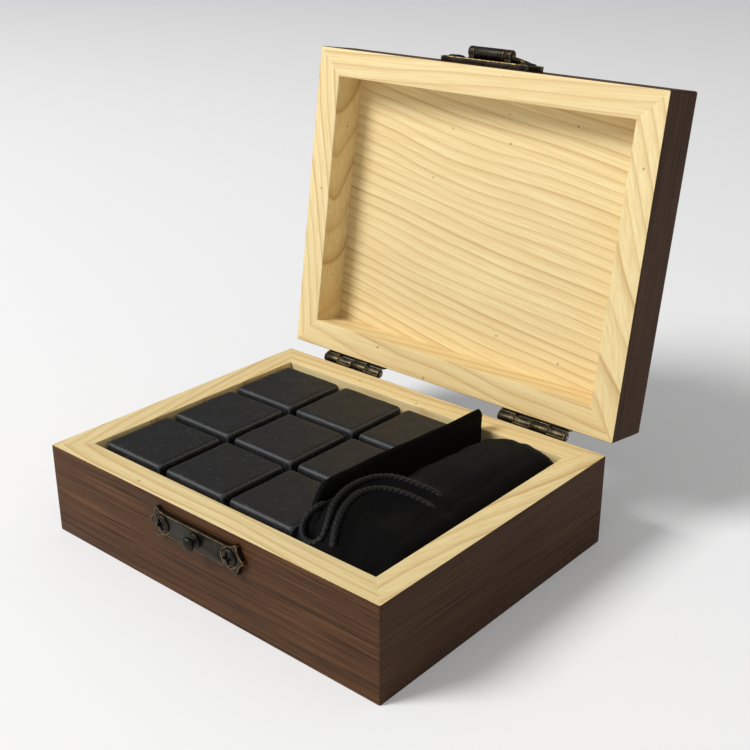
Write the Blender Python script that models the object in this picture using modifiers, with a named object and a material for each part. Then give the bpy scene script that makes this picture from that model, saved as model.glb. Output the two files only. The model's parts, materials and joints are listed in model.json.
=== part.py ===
"""A small hinged wooden case with a hasp latch, nine basalt cubes in a grid, and a folded velvet pouch.

The case stands on the XY plane with its front towards -Y and the lid open. Metres, +Z up.
The origin is the centre of the bottom board's underside.
"""

import math

import bmesh
import bpy
from mathutils import Matrix, Vector

# Clearances
FIT_GAP = 0.0003  # between pieces that rest on, or are fixed to, each other

# The stones and their places
STONE_SIZE = 0.0200
STONE_ROUND = 0.0014
STONES_EACH_WAY = 3
STONE_GAP = 0.0016  # between neighbouring stones
STONE_LEFT_GAP = 0.0005
STONE_FRONT_GAP = 0.0025
STONE_REAR_GAP = 0.0017
STONE_RIM_DROP = 0.0003  # stone tops below the rim

# The pouch, folded into the space beside the stones
POUCH_STONE_GAP = 0.0009
POUCH_WIDTH = 0.0245
POUCH_END_GAP = 0.0004
FLAP_THICK = 0.0014
FLAP_FRONT_SETBACK = 0.0085
FLAP_FRONT_RISE = 0.0080  # above the rim
FLAP_REAR_RISE = 0.0054
FLAP_CORNER = 0.0030
POUCH_CROWN = 0.0026  # the body's top above the rim along its middle
POUCH_SHOULDER = 0.0030  # how far the top falls towards each long side
POUCH_FRONT_DROP = 0.0065  # how far the top falls towards the front wall
POUCH_FRONT_SHARE = 0.22  # the share of the pouch's length over which it falls
POUCH_REAR_SHARE = 0.35  # the share of the crown that is gone at the rear
CORD_DIAMETER = 0.0016

# The case
WALL = 0.0073
FLOOR_THICK = 0.0026
LID_HOLLOW = 0.0091
TOP_THICK = 0.0050
TOP_ROUND = 0.0018
EDGE_ROUND = 0.0004
LID_OPEN_DEG = 98.8

# The two butt hinges
HINGE_SETBACK = 0.0020  # axis behind the back face
HINGE_OFFSET = 0.0298  # each hinge's middle from the case's middle
HINGE_LENGTH = 0.0200
HINGE_KNUCKLES = 4
KNUCKLE_WOOD_GAP = 0.00075  # between a knuckle and the wood's face
HINGE_PIN_RADIUS = 0.00045
LEAF_THICK = 0.0008
LEAF_REACH = 0.0080  # from the axis to the leaf's far edge
LEAF_SCREW_REACH = 0.0049
LEAF_SCREW_OFFSET = 0.0060

# The latch
LATCH_SHIFT = 0.0008  # the latch's middle, right of the case's middle
PLATE_THICK = 0.0011
PLATE_HALF_STRAIGHT = 0.0092
PLATE_HALF_HEIGHT = 0.00275
PLATE_CORNER = (0.0128, 0.0035)
PLATE_TIP = 0.0150
PLATE_SCREW_OFFSET = 0.0107
PLATE_EDGE_ROUND = 0.00025
LID_PLATE_RISE = 0.0045  # the plate's middle above the rim
KEEPER_DROP = 0.0052  # the keeper's middle below the rim
BARREL_RISE = 0.0042
BARREL_RADIUS = 0.00135
BARREL_OUT = 0.0031  # the barrel's axis in front of the wood
BARREL_LENGTH = 0.0084
EAR_WIDTH = 0.0018
EAR_HALF_HEIGHT = 0.0012
SHEET_INSIDE_ROLL = 0.00005  # the tongue's back face inside the barrel's back
LATCH_PIN_RADIUS = 0.00050
LATCH_PIN_END = 0.0003  # the pin stands this far out of each ear
WINDOW_ABOVE = 0.0019
WINDOW_BELOW = 0.0010
TONGUE_THICK = 0.0008
TONGUE_REACH = 0.0137
TONGUE_NECK = (0.0021, 0.0027, 0.0047)  # half width, start and end along the tongue
TONGUE_SHOULDER = (0.0036, 0.0056)
TONGUE_WIDEST = (0.0062, 0.0103)
TONGUE_HOLE_RADIUS = 0.00245
TONGUE_BACK_DEG = 196.0
KNOB_SHANK_RADIUS = 0.0010
KNOB_COLLAR_RADIUS = 0.0019
KNOB_HEAD_RADIUS = 0.0015
KNOB_HEIGHT = 0.0043
KNOB_DEPTH = 0.0022

# Screws: head radius, shank radius, length in the wood, dome height, recess arm and width
LATCH_SCREW = {
    "head": 0.0021,
    "shank": 0.0008,
    "depth": 0.0050,
    "dome": 0.0005,
    "arm": 0.0013,
    "slot": 0.0005,
}
HINGE_SCREW = {
    "head": 0.0015,
    "shank": 0.0005,
    "depth": 0.0040,
    "dome": 0.0003,
    "arm": 0.0009,
    "slot": 0.0004,
}
SCREW_POINT = 0.0012
HEAD_STANDS_OUT = 0.00005  # the rim of a screw's head in front of its plate
RECESS_TAPER = 0.8  # a recess wing's width at its tip, as a share of its root

# Places that follow from the sizes above
STONE_PITCH = STONE_SIZE + STONE_GAP
STONE_BLOCK = STONES_EACH_WAY * STONE_SIZE + (STONES_EACH_WAY - 1) * STONE_GAP
INNER_WIDTH = STONE_LEFT_GAP + STONE_BLOCK + POUCH_STONE_GAP + POUCH_WIDTH + FIT_GAP
INNER_DEPTH = STONE_FRONT_GAP + STONE_BLOCK + STONE_REAR_GAP
CASE_WIDTH = INNER_WIDTH + 2 * WALL
CASE_DEPTH = INNER_DEPTH + 2 * WALL
FLOOR_TOP = FLOOR_THICK + FIT_GAP
RIM = FLOOR_TOP + STONE_SIZE + STONE_RIM_DROP
LID_RIM = RIM + FIT_GAP
LID_TOP_UNDERSIDE = LID_RIM + LID_HOLLOW
FRONT_FACE = -CASE_DEPTH / 2
BACK_FACE = CASE_DEPTH / 2
INNER_RIGHT = INNER_WIDTH / 2
INNER_FRONT = -INNER_DEPTH / 2
INNER_REAR = INNER_DEPTH / 2
KNUCKLE_RADIUS = HINGE_SETBACK - KNUCKLE_WOOD_GAP
HINGE_AXIS = Vector((0, BACK_FACE + HINGE_SETBACK, RIM + FIT_GAP / 2))
BARREL_AXIS = Vector((LATCH_SHIFT, FRONT_FACE - BARREL_OUT, LID_RIM + BARREL_RISE))
PLATE_FRONT = FIT_GAP + PLATE_THICK  # distance out from the wood
LEAF_FRONT = FIT_GAP + LEAF_THICK
KNOB_TO_BARREL = BARREL_RISE + FIT_GAP + KEEPER_DROP

ROUND_SIDES = 16
NO_ROTATION = (0, 0, 0)
ALONG_X = (0, math.radians(90), 0)
FACING_FRONT = (math.radians(90), 0, 0)
FACING_BACK = (math.radians(-90), 0, 0)


def clear_scene():
    for old in list(bpy.data.objects):
        bpy.data.objects.remove(old, do_unlink=True)


def new_collection(name):
    collection = bpy.data.collections.new(name)
    bpy.context.scene.collection.children.link(collection)
    return collection


def new_material(name, colour, roughness, metallic):
    material = bpy.data.materials.new(name)
    material.use_nodes = True
    shader = material.node_tree.nodes["Principled BSDF"]
    shader.inputs["Base Color"].default_value = (*colour, 1)
    shader.inputs["Roughness"].default_value = roughness
    shader.inputs["Metallic"].default_value = metallic
    return material


clear_scene()
PARTS = new_collection("stone_case")
CUTTERS = new_collection("cutters")
WOOD = new_material("stained_pine", (0.10, 0.045, 0.022), 0.45, 0.0)
BRONZE = new_material("antique_bronze", (0.11, 0.09, 0.06), 0.42, 1.0)
HINGE_METAL = new_material("hinge_bronze", (0.16, 0.13, 0.09), 0.40, 1.0)
BASALT = new_material("basalt", (0.022, 0.022, 0.024), 0.50, 0.0)
VELVET = new_material("velvet", (0.004, 0.004, 0.005), 0.95, 0.0)
CORD = new_material("braided_cord", (0.010, 0.010, 0.011), 0.85, 0.0)


# Objects -------------------------------------------------------------------------------------


def place(obj, location=(0, 0, 0), rotation=NO_ROTATION, parent=None):
    """Location and rotation are given with the lid closed and the tongue latched, in world axes."""
    origin = Vector((0, 0, 0))
    if parent:
        obj.parent = parent
        origin = Vector(parent["closed_at"])
    obj.location = Vector(location) - origin
    obj.rotation_euler = rotation
    return obj


def add_part(name, mesh, material, **where):
    obj = bpy.data.objects.new(name, mesh)
    mesh.materials.clear()
    mesh.materials.append(material)
    PARTS.objects.link(obj)
    return place(obj, **where)


def add_cutter(name, mesh, **where):
    obj = bpy.data.objects.new(name, mesh)
    CUTTERS.objects.link(obj)
    obj.hide_render = True
    obj.display_type = "WIRE"
    return place(obj, **where)


def add_pivot(name, closed_at, turn_deg, parent=None):
    """An empty on a joint's axis, turned about X from the closed state to the state at rest."""
    pivot = bpy.data.objects.new(name, None)
    PARTS.objects.link(pivot)
    pivot["closed_at"] = closed_at
    return place(pivot, closed_at, (math.radians(-turn_deg), 0, 0), parent)


def mesh_of(bm, name):
    bmesh.ops.recalc_face_normals(bm, faces=bm.faces)
    mesh = bpy.data.meshes.new(name)
    bm.to_mesh(mesh)
    bm.free()
    return mesh


def box_mesh(name, low, high):
    bm = bmesh.new()
    bmesh.ops.create_cube(bm, size=1)
    low, high = Vector(low), Vector(high)
    bmesh.ops.scale(bm, vec=high - low, verts=bm.verts)
    bmesh.ops.translate(bm, vec=(low + high) / 2, verts=bm.verts)
    return mesh_of(bm, name)


def rod_mesh(name, radius, length, top_radius=None):
    """A cylinder or cone along Z, centred on its origin."""
    bm = bmesh.new()
    bmesh.ops.create_cone(
        bm,
        cap_ends=True,
        segments=ROUND_SIDES,
        radius1=radius,
        radius2=radius if top_radius is None else top_radius,
        depth=length,
    )
    return mesh_of(bm, name)


def evaluated_mesh(obj, name):
    """The object's mesh with its modifiers applied, and the object itself gone."""
    bpy.context.view_layer.update()
    graph = bpy.context.evaluated_depsgraph_get()
    mesh = bpy.data.meshes.new_from_object(obj.evaluated_get(graph))
    mesh.name = name
    bpy.data.objects.remove(obj, do_unlink=True)
    return mesh


def weld(mesh):
    bm = bmesh.new()
    bm.from_mesh(mesh)
    bmesh.ops.remove_doubles(bm, verts=bm.verts, dist=1e-6)
    bmesh.ops.recalc_face_normals(bm, faces=bm.faces)
    bm.to_mesh(mesh)
    bm.free()
    return mesh


def prism_mesh(name, outline, low, high):
    """A flat outline in XY made solid from Z = low to Z = high."""
    curve = bpy.data.curves.new(name, "CURVE")
    curve.dimensions = "2D"
    curve.fill_mode = "BOTH"
    curve.extrude = (high - low) / 2
    spline = curve.splines.new("POLY")
    spline.points.add(len(outline) - 1)
    for point, (x, y) in zip(spline.points, outline):
        point.co = (x, y, 0, 1)
    spline.use_cyclic_u = True
    guide = bpy.data.objects.new(name, curve)
    CUTTERS.objects.link(guide)
    mesh = weld(evaluated_mesh(guide, name))
    bpy.data.curves.remove(curve)
    for vertex in mesh.vertices:
        vertex.co.z += (low + high) / 2
    return mesh


def turned_mesh(name, profile):
    """(radius, z) points from the top of the axis down the outer side, turned about Z."""
    bm = bmesh.new()
    points = [bm.verts.new((radius, 0, z)) for radius, z in profile]
    for first, second in zip(points, points[1:]):
        bm.edges.new((first, second))
    mesh = bpy.data.meshes.new(name)
    bm.to_mesh(mesh)
    bm.free()
    guide = bpy.data.objects.new(name, mesh)
    CUTTERS.objects.link(guide)
    screw = guide.modifiers.new("turn", "SCREW")
    screw.steps = ROUND_SIDES
    screw.render_steps = ROUND_SIDES
    screw.use_merge_vertices = True
    screw.merge_threshold = 0.00001
    return weld(evaluated_mesh(guide, name))


def bevel(obj, width, segments=2, angle_deg=35):
    modifier = obj.modifiers.new("edges", "BEVEL")
    modifier.width = width
    modifier.segments = segments
    modifier.limit_method = "ANGLE"
    modifier.angle_limit = math.radians(angle_deg)
    return obj


def boolean(obj, other, operation):
    modifier = obj.modifiers.new(operation.lower(), "BOOLEAN")
    modifier.operation = operation
    modifier.object = other
    modifier.solver = "EXACT"
    return obj


def shade_round(obj, angle_deg=35):
    obj.data.shade_smooth()
    obj.data.set_sharp_from_angle(angle=math.radians(angle_deg))
    return obj


def bend(start, control, end, steps=5):
    """Points after start along a curve that leaves towards control and arrives at end."""
    points = []
    for step in range(1, steps + 1):
        t = step / steps
        towards_control = tuple(a + (b - a) * t for a, b in zip(start, control))
        towards_end = tuple(b + (c - b) * t for b, c in zip(control, end))
        points.append(tuple(a + (b - a) * t for a, b in zip(towards_control, towards_end)))
    return points


# Wood ----------------------------------------------------------------------------------------


def mitred_board(name, length, low, high, turn_deg, out, parent=None):
    """A wall whose outer face points away from the case's middle, mitred at both ends."""
    bm = bmesh.new()
    bmesh.ops.create_cube(bm, size=1)
    bmesh.ops.scale(bm, vec=(length, WALL, high - low), verts=bm.verts)
    for vertex in bm.verts:
        mitre = FIT_GAP / math.sqrt(2) + (WALL if vertex.co.y > 0 else 0)
        vertex.co.x -= math.copysign(mitre, vertex.co.x)
    turn = math.radians(turn_deg)
    middle = Vector((math.sin(turn), -math.cos(turn), 0)) * (out - WALL / 2)
    middle.z = (low + high) / 2
    board = add_part(name, mesh_of(bm, name), WOOD, location=middle, rotation=(0, 0, turn), parent=parent)
    return bevel(board, EDGE_ROUND)


def frame_of_boards(prefix, low, high, parent=None):
    sides = (
        ("front", CASE_WIDTH, 0, CASE_DEPTH / 2),
        ("right", CASE_DEPTH, 90, CASE_WIDTH / 2),
        ("back", CASE_WIDTH, 180, CASE_DEPTH / 2),
        ("left", CASE_DEPTH, 270, CASE_WIDTH / 2),
    )
    return {
        side: mitred_board(f"{prefix}_{side}_board", length, low, high, turn, out, parent)
        for side, length, turn, out in sides
    }


def flat_board(name, low_z, high_z, parent=None, top_round=0.0):
    """A board over the whole plan of the case, its top edges rounded where top_round is given."""
    mesh = box_mesh(
        name, (-CASE_WIDTH / 2, -CASE_DEPTH / 2, low_z - high_z), (CASE_WIDTH / 2, CASE_DEPTH / 2, 0)
    )
    if top_round:
        bm = bmesh.new()
        bm.from_mesh(mesh)
        top = [edge for edge in bm.edges if all(abs(v.co.z) < EDGE_ROUND for v in edge.verts)]
        bmesh.ops.bevel(bm, geom=top, offset=top_round, segments=4, profile=0.5, affect="EDGES")
        bm.to_mesh(mesh)
        bm.free()
    board = add_part(name, mesh, WOOD, location=(0, 0, high_z), parent=parent)
    return bevel(board, EDGE_ROUND)


# Screws --------------------------------------------------------------------------------------


def screw_mesh(name, size, front):
    """A countersunk Phillips screw along Z: the wood's face is Z = 0, the plate's front is Z = front."""
    head, shank = size["head"], size["shank"]
    top = front + HEAD_STANDS_OUT + size["dome"]
    cone_end = shank + FIT_GAP
    profile = [
        (0, top),
        (0.5 * head, top - 0.2 * size["dome"]),
        (0.85 * head, top - 0.6 * size["dome"]),
        (head, top - size["dome"]),
        (cone_end, FIT_GAP),
        (shank, 0),
        (shank, -size["depth"] + SCREW_POINT),
        (0, -size["depth"]),
    ]
    body = bpy.data.objects.new(name, turned_mesh(name, profile))
    CUTTERS.objects.link(body)
    arm, half = size["arm"], size["slot"] / 2
    tip = RECESS_TAPER * half
    cross = []
    for quarter in range(4):
        turn = Matrix.Rotation(quarter * math.pi / 2, 2)
        cross += [tuple(turn @ Vector(corner)) for corner in ((arm, -tip), (arm, tip), (half, half))]
    recess_depth = size["dome"] + size["slot"] / 2
    recess = add_cutter(
        f"{name}_recess", prism_mesh(f"{name}_recess", cross, top - recess_depth, top + size["dome"])
    )
    boolean(body, recess, "DIFFERENCE")
    mesh = weld(evaluated_mesh(body, name))
    bpy.data.objects.remove(recess, do_unlink=True)
    mesh.shade_smooth()
    mesh.set_sharp_from_angle(angle=math.radians(35))
    return mesh


def fit_screw(name, mesh, material, size, front, plate, board, at, rotation, parent=None):
    """Places a screw, countersinks its plate and drills its pilot hole. at is a point on the wood's face."""
    add_part(name, mesh, material, location=at, rotation=rotation, parent=parent)
    back_radius = size["shank"] + 2 * FIT_GAP
    front_radius = size["head"] + FIT_GAP
    depth = front - FIT_GAP
    over = 0.5 * depth  # the cone goes on past both faces at the same slope
    slope = (front_radius - back_radius) / depth
    cone = rod_mesh(
        f"{name}_sink", back_radius - slope * over, depth + 2 * over, front_radius + slope * over
    )
    for vertex in cone.vertices:
        vertex.co.z += FIT_GAP + depth / 2
    where = {"location": at, "rotation": rotation, "parent": parent}
    boolean(plate, add_cutter(f"{name}_sink", cone, **where), "DIFFERENCE")
    pilot_depth = size["depth"] + FIT_GAP
    pilot = rod_mesh(f"{name}_pilot", size["shank"] + FIT_GAP, 2 * pilot_depth)
    boolean(board, add_cutter(f"{name}_pilot", pilot, **where), "DIFFERENCE")


# Hinges --------------------------------------------------------------------------------------


def hinge_leaf(name, middle_x, up, first_knuckle, parent=None):
    """One leaf. up is 1 for the lid's leaf and -1 for the base's. It holds every other knuckle."""
    near = -HINGE_SETBACK + FIT_GAP
    far = near + LEAF_THICK
    notch = math.sqrt((KNUCKLE_RADIUS + FIT_GAP) ** 2 - far**2)
    half = HINGE_LENGTH / 2
    low, high = sorted((up * notch, up * LEAF_REACH))
    at = HINGE_AXIS + Vector((middle_x, 0, 0))
    leaf = add_part(
        name, box_mesh(name, (-half, near, low), (half, far, high)), HINGE_METAL, location=at, parent=parent
    )
    pitch = HINGE_LENGTH / HINGE_KNUCKLES
    for knuckle in range(first_knuckle, HINGE_KNUCKLES, 2):
        start = -half + knuckle * pitch + (FIT_GAP / 2 if knuckle else 0)
        end = -half + (knuckle + 1) * pitch - (FIT_GAP / 2 if knuckle < HINGE_KNUCKLES - 1 else 0)
        tab_low, tab_high = sorted((0.0, up * (notch + LEAF_THICK)))
        tab = box_mesh(f"{name}_tab_{knuckle}", (start, near, tab_low), (end, far, tab_high))
        boolean(leaf, add_cutter(tab.name, tab, location=at, parent=parent), "UNION")
        roll = rod_mesh(f"{name}_roll_{knuckle}", KNUCKLE_RADIUS, end - start)
        centre = at + Vector(((start + end) / 2, 0, 0))
        cutter = add_cutter(roll.name, roll, location=centre, rotation=ALONG_X, parent=parent)
        boolean(leaf, cutter, "UNION")
    bore = rod_mesh(f"{name}_bore", HINGE_PIN_RADIUS + FIT_GAP, 2 * HINGE_LENGTH)
    cutter = add_cutter(bore.name, bore, location=at, rotation=ALONG_X, parent=parent)
    return boolean(leaf, cutter, "DIFFERENCE")


def hinge(prefix, middle_x, base_board, lid_board, lid, screw):
    base_leaf = hinge_leaf(f"{prefix}_hinge_base_leaf", middle_x, -1, 1)
    lid_leaf = hinge_leaf(f"{prefix}_hinge_lid_leaf", middle_x, 1, 0, lid)
    for leaf, up, board, parent in ((base_leaf, -1, base_board, None), (lid_leaf, 1, lid_board, lid)):
        for number, side in enumerate((-1, 1), 1):
            at = (
                middle_x + side * LEAF_SCREW_OFFSET,
                BACK_FACE,
                HINGE_AXIS.z + up * LEAF_SCREW_REACH,
            )
            name = leaf.name.replace("leaf", f"screw_{number}")
            fit_screw(name, screw, HINGE_METAL, HINGE_SCREW, LEAF_FRONT, leaf, board, at, FACING_BACK, parent)
    pin = rod_mesh(f"{prefix}_hinge_pin", HINGE_PIN_RADIUS, HINGE_LENGTH + 2 * FIT_GAP)
    pin_at = HINGE_AXIS + Vector((middle_x, 0, 0))
    shade_round(add_part(pin.name, pin, HINGE_METAL, location=pin_at, rotation=ALONG_X))


# Latch ---------------------------------------------------------------------------------------


def plate_outline():
    """A bar whose ends are cut in curves to a middle tip between two flared corners."""
    half = PLATE_HALF_HEIGHT
    corner_x, corner_y = PLATE_CORNER
    quarter = [(PLATE_HALF_STRAIGHT, half)]
    quarter += bend(quarter[0], ((PLATE_HALF_STRAIGHT + corner_x) / 2, half), PLATE_CORNER, 3)
    quarter += bend(PLATE_CORNER, (corner_x + FIT_GAP, corner_y / 4), (PLATE_TIP, 0), 4)
    lower = [(x, -y) for x, y in reversed(quarter[:-1])]
    right = quarter + lower
    return right + [(-x, -y) for x, y in right]


def latch_plate(name, middle_z, parent=None):
    """Outline in XZ, facing -Y, standing clear of the wood by the fit gap."""
    mesh = prism_mesh(name, plate_outline(), FIT_GAP, PLATE_FRONT)
    at = (LATCH_SHIFT, FRONT_FACE, middle_z)
    plate = add_part(name, mesh, BRONZE, location=at, rotation=FACING_FRONT, parent=parent)
    return bevel(plate, PLATE_EDGE_ROUND)


def tongue_outline():
    """Half width against distance from the barrel's axis: a bar, a neck, then a wide shield."""
    neck, neck_start, neck_end = TONGUE_NECK
    root = BARREL_LENGTH / 2
    ease = 2 * FIT_GAP  # how far each curve's control point stands off its end
    widest, widest_at = TONGUE_WIDEST
    right = [(root, 0), (root, neck_start - ease)]
    right += bend(right[-1], (neck, neck_start - ease), (neck, neck_start), 2)
    right += [(neck, neck_end)]
    right += bend(right[-1], (neck, TONGUE_SHOULDER[1] - ease), TONGUE_SHOULDER, 2)
    right += bend(TONGUE_SHOULDER, (widest - ease, 0.75 * widest_at), TONGUE_WIDEST, 4)
    right += bend(TONGUE_WIDEST, (widest, TONGUE_REACH - ease), (0, TONGUE_REACH), 7)
    return [(x, -s) for x, s in right] + [(-x, -s) for x, s in reversed(right[:-1])]


def latch_tongue(pivot):
    """The sheet leaves the barrel on the wood's side, so that it lies flat when it is latched."""
    name = "latch_tongue"
    back = BARREL_RADIUS - SHEET_INSIDE_ROLL
    sheet = prism_mesh(name, tongue_outline(), -back, TONGUE_THICK - back)
    tongue = add_part(name, sheet, BRONZE, location=BARREL_AXIS, rotation=FACING_FRONT, parent=pivot)
    bevel(tongue, PLATE_EDGE_ROUND / 2, 1)
    along_axis = {"location": BARREL_AXIS, "rotation": ALONG_X, "parent": pivot}
    barrel = rod_mesh(f"{name}_barrel", BARREL_RADIUS, BARREL_LENGTH)
    boolean(tongue, add_cutter(barrel.name, barrel, **along_axis), "UNION")
    bore = rod_mesh(f"{name}_bore", LATCH_PIN_RADIUS + FIT_GAP, 2 * BARREL_LENGTH)
    boolean(tongue, add_cutter(bore.name, bore, **along_axis), "DIFFERENCE")
    hole = rod_mesh(f"{name}_hole", TONGUE_HOLE_RADIUS, 4 * BARREL_RADIUS)
    hole_at = BARREL_AXIS - Vector((0, 0, KNOB_TO_BARREL))
    cutter = add_cutter(hole.name, hole, location=hole_at, rotation=FACING_FRONT, parent=pivot)
    return boolean(tongue, cutter, "DIFFERENCE")


def lid_plate(lid):
    """The plate on the lid, with two ears that hold the tongue's pin in front of a window."""
    name = "latch_lid_plate"
    plate = latch_plate(name, LID_RIM + LID_PLATE_RISE, lid)
    half_window = BARREL_LENGTH / 2 + FIT_GAP
    window = box_mesh(
        f"{name}_window",
        (-half_window, -BARREL_OUT, -WINDOW_BELOW),
        (half_window, BARREL_OUT, WINDOW_ABOVE),
    )
    boolean(plate, add_cutter(window.name, window, location=BARREL_AXIS, parent=lid), "DIFFERENCE")
    for number, side in enumerate((-1, 1)):
        inner = half_window
        outer = half_window + EAR_WIDTH
        low_x, high_x = sorted((side * inner, side * outer))
        block = box_mesh(
            f"{name}_ear_{number}",
            (low_x, 0, -EAR_HALF_HEIGHT),
            (high_x, BARREL_OUT - PLATE_FRONT + PLATE_THICK / 2, EAR_HALF_HEIGHT),
        )
        boolean(plate, add_cutter(block.name, block, location=BARREL_AXIS, parent=lid), "UNION")
        roll = rod_mesh(f"{name}_roll_{number}", BARREL_RADIUS, EAR_WIDTH)
        at = BARREL_AXIS + Vector((side * (inner + outer) / 2, 0, 0))
        boolean(plate, add_cutter(roll.name, roll, location=at, rotation=ALONG_X, parent=lid), "UNION")
    bore = rod_mesh(f"{name}_bore", LATCH_PIN_RADIUS + FIT_GAP, 3 * BARREL_LENGTH)
    cutter = add_cutter(bore.name, bore, location=BARREL_AXIS, rotation=ALONG_X, parent=lid)
    return boolean(plate, cutter, "DIFFERENCE")


def latch_pin(lid):
    length = BARREL_LENGTH + 2 * (FIT_GAP + EAR_WIDTH + LATCH_PIN_END)
    mesh = rod_mesh("latch_pin", LATCH_PIN_RADIUS, length)
    shade_round(add_part("latch_pin", mesh, BRONZE, location=BARREL_AXIS, rotation=ALONG_X, parent=lid))


def knob(keeper, board):
    """A turned knob whose shank passes through the keeper into the wood."""
    at = (LATCH_SHIFT, FRONT_FACE, RIM - KEEPER_DROP)
    collar_low = PLATE_FRONT + FIT_GAP
    collar_high = collar_low + FIT_GAP
    head_low = KNOB_HEIGHT - 1.2 * KNOB_HEAD_RADIUS
    profile = [
        (0, KNOB_HEIGHT),
        (0.6 * KNOB_HEAD_RADIUS, KNOB_HEIGHT - 0.2 * KNOB_HEAD_RADIUS),
        (KNOB_HEAD_RADIUS, KNOB_HEIGHT - 0.7 * KNOB_HEAD_RADIUS),
        (KNOB_SHANK_RADIUS, head_low),
        (KNOB_SHANK_RADIUS, collar_high),
        (KNOB_COLLAR_RADIUS, collar_high),
        (KNOB_COLLAR_RADIUS, collar_low),
        (KNOB_SHANK_RADIUS, collar_low),
        (KNOB_SHANK_RADIUS, -KNOB_DEPTH),
        (0, -KNOB_DEPTH),
    ]
    mesh = turned_mesh("latch_knob", profile)
    shade_round(add_part("latch_knob", mesh, BRONZE, location=at, rotation=FACING_FRONT))
    for target, depth in ((keeper, 2 * PLATE_FRONT), (board, KNOB_DEPTH + FIT_GAP)):
        hole = rod_mesh(f"{target.name}_knob_hole", KNOB_SHANK_RADIUS + FIT_GAP, 2 * depth)
        boolean(target, add_cutter(hole.name, hole, location=at, rotation=FACING_FRONT), "DIFFERENCE")


def latch(base_board, lid_board, lid):
    screw = screw_mesh("latch_screw", LATCH_SCREW, PLATE_FRONT)
    keeper = latch_plate("latch_keeper_plate", RIM - KEEPER_DROP)
    knob(keeper, base_board)
    plate = lid_plate(lid)
    latch_pin(lid)
    pivot = add_pivot("tongue_pivot", BARREL_AXIS, TONGUE_BACK_DEG, lid)
    latch_tongue(pivot)
    fixings = (
        ("keeper_screw", keeper, base_board, RIM - KEEPER_DROP, None),
        ("lid_plate_screw", plate, lid_board, LID_RIM + LID_PLATE_RISE, lid),
    )
    for prefix, target, board, z, parent in fixings:
        for side_name, side in (("left", -1), ("right", 1)):
            at = (LATCH_SHIFT + side * PLATE_SCREW_OFFSET, FRONT_FACE, z)
            name = f"{prefix}_{side_name}"
            fit_screw(name, screw, BRONZE, LATCH_SCREW, PLATE_FRONT, target, board, at, FACING_FRONT, parent)


# Contents ------------------------------------------------------------------------------------


def stones():
    half = STONE_SIZE / 2
    mesh = box_mesh("stone", (-half, -half, -half), (half, half, half))
    first_x = -INNER_WIDTH / 2 + STONE_LEFT_GAP + half
    first_y = INNER_FRONT + STONE_FRONT_GAP + half
    for row in range(STONES_EACH_WAY):
        for column in range(STONES_EACH_WAY):
            number = row * STONES_EACH_WAY + column + 1
            at = (first_x + column * STONE_PITCH, first_y + row * STONE_PITCH, FLOOR_TOP + half)
            stone = add_part(f"stone_{number}", mesh, BASALT, location=at)
            bevel(stone, STONE_ROUND, 2)
            shade_round(stone)


def pouch_top(across, along):
    """Height above the rim of the pouch body's top; across and along run from 0 to 1."""
    side = (2 * across - 1) ** 2
    front = max(0.0, 1 - along / POUCH_FRONT_SHARE) ** 2
    rear = POUCH_REAR_SHARE * along
    return POUCH_CROWN * (1 - rear) - POUCH_SHOULDER * side - POUCH_FRONT_DROP * front


def pouch():
    """A rolled body with a flap of the same cloth standing beside the stones."""
    flap_left = INNER_RIGHT - FIT_GAP - POUCH_WIDTH
    flap_right = flap_left + FLAP_THICK
    front = INNER_FRONT + POUCH_END_GAP
    rear = INNER_REAR - POUCH_END_GAP
    low = FLOOR_TOP
    flap_front = INNER_FRONT + FLAP_FRONT_SETBACK
    top_front = (flap_front, RIM + FLAP_FRONT_RISE)
    top_rear = (rear, RIM + FLAP_REAR_RISE)
    outline = [(flap_front, low), (flap_front, top_front[1] - FLAP_CORNER)]
    outline += bend(outline[-1], top_front, (flap_front + FLAP_CORNER, top_front[1]), 4)
    outline += [(top_rear[0] - FLAP_CORNER / 2, top_rear[1])]
    outline += bend(outline[-1], top_rear, (rear, top_rear[1] - FLAP_CORNER / 2), 3)
    outline += [(rear, low)]
    mesh = prism_mesh("pouch_flap", outline, 0, FLAP_THICK)
    upright = (math.radians(90), 0, math.radians(90))
    add_part("pouch_flap", mesh, VELVET, location=(flap_left, 0, 0), rotation=upright)

    left = flap_right + FIT_GAP
    right = INNER_RIGHT - FIT_GAP
    bm = bmesh.new()
    bmesh.ops.create_cube(bm, size=1)
    bmesh.ops.subdivide_edges(bm, edges=bm.edges, cuts=3, use_grid_fill=True)
    for vertex in bm.verts:
        across, along, up = (part + 0.5 for part in vertex.co)
        top = RIM + pouch_top(across, along)
        vertex.co = (left + across * (right - left), front + along * (rear - front), low + up * (top - low))
    body = add_part("pouch_body", mesh_of(bm, "pouch_body"), VELVET)
    soften = body.modifiers.new("soften", "SUBSURF")
    soften.levels = 1
    soften.render_levels = 1
    shade_round(body, 60)


def smooth_route(points, steps):
    """Points on a Catmull-Rom curve through the route's own points."""
    ends = [points[0] * 2 - points[1]] + points + [points[-1] * 2 - points[-2]]
    route = []
    for p0, p1, p2, p3 in zip(ends, ends[1:], ends[2:], ends[3:]):
        for step in range(steps):
            t = step / steps
            route.append(
                0.5
                * (
                    2 * p1
                    + (p2 - p0) * t
                    + (2 * p0 - 5 * p1 + 4 * p2 - p3) * t**2
                    + (3 * p1 - p0 - 3 * p2 + p3) * t**3
                )
            )
    return route + [points[-1]]


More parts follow.
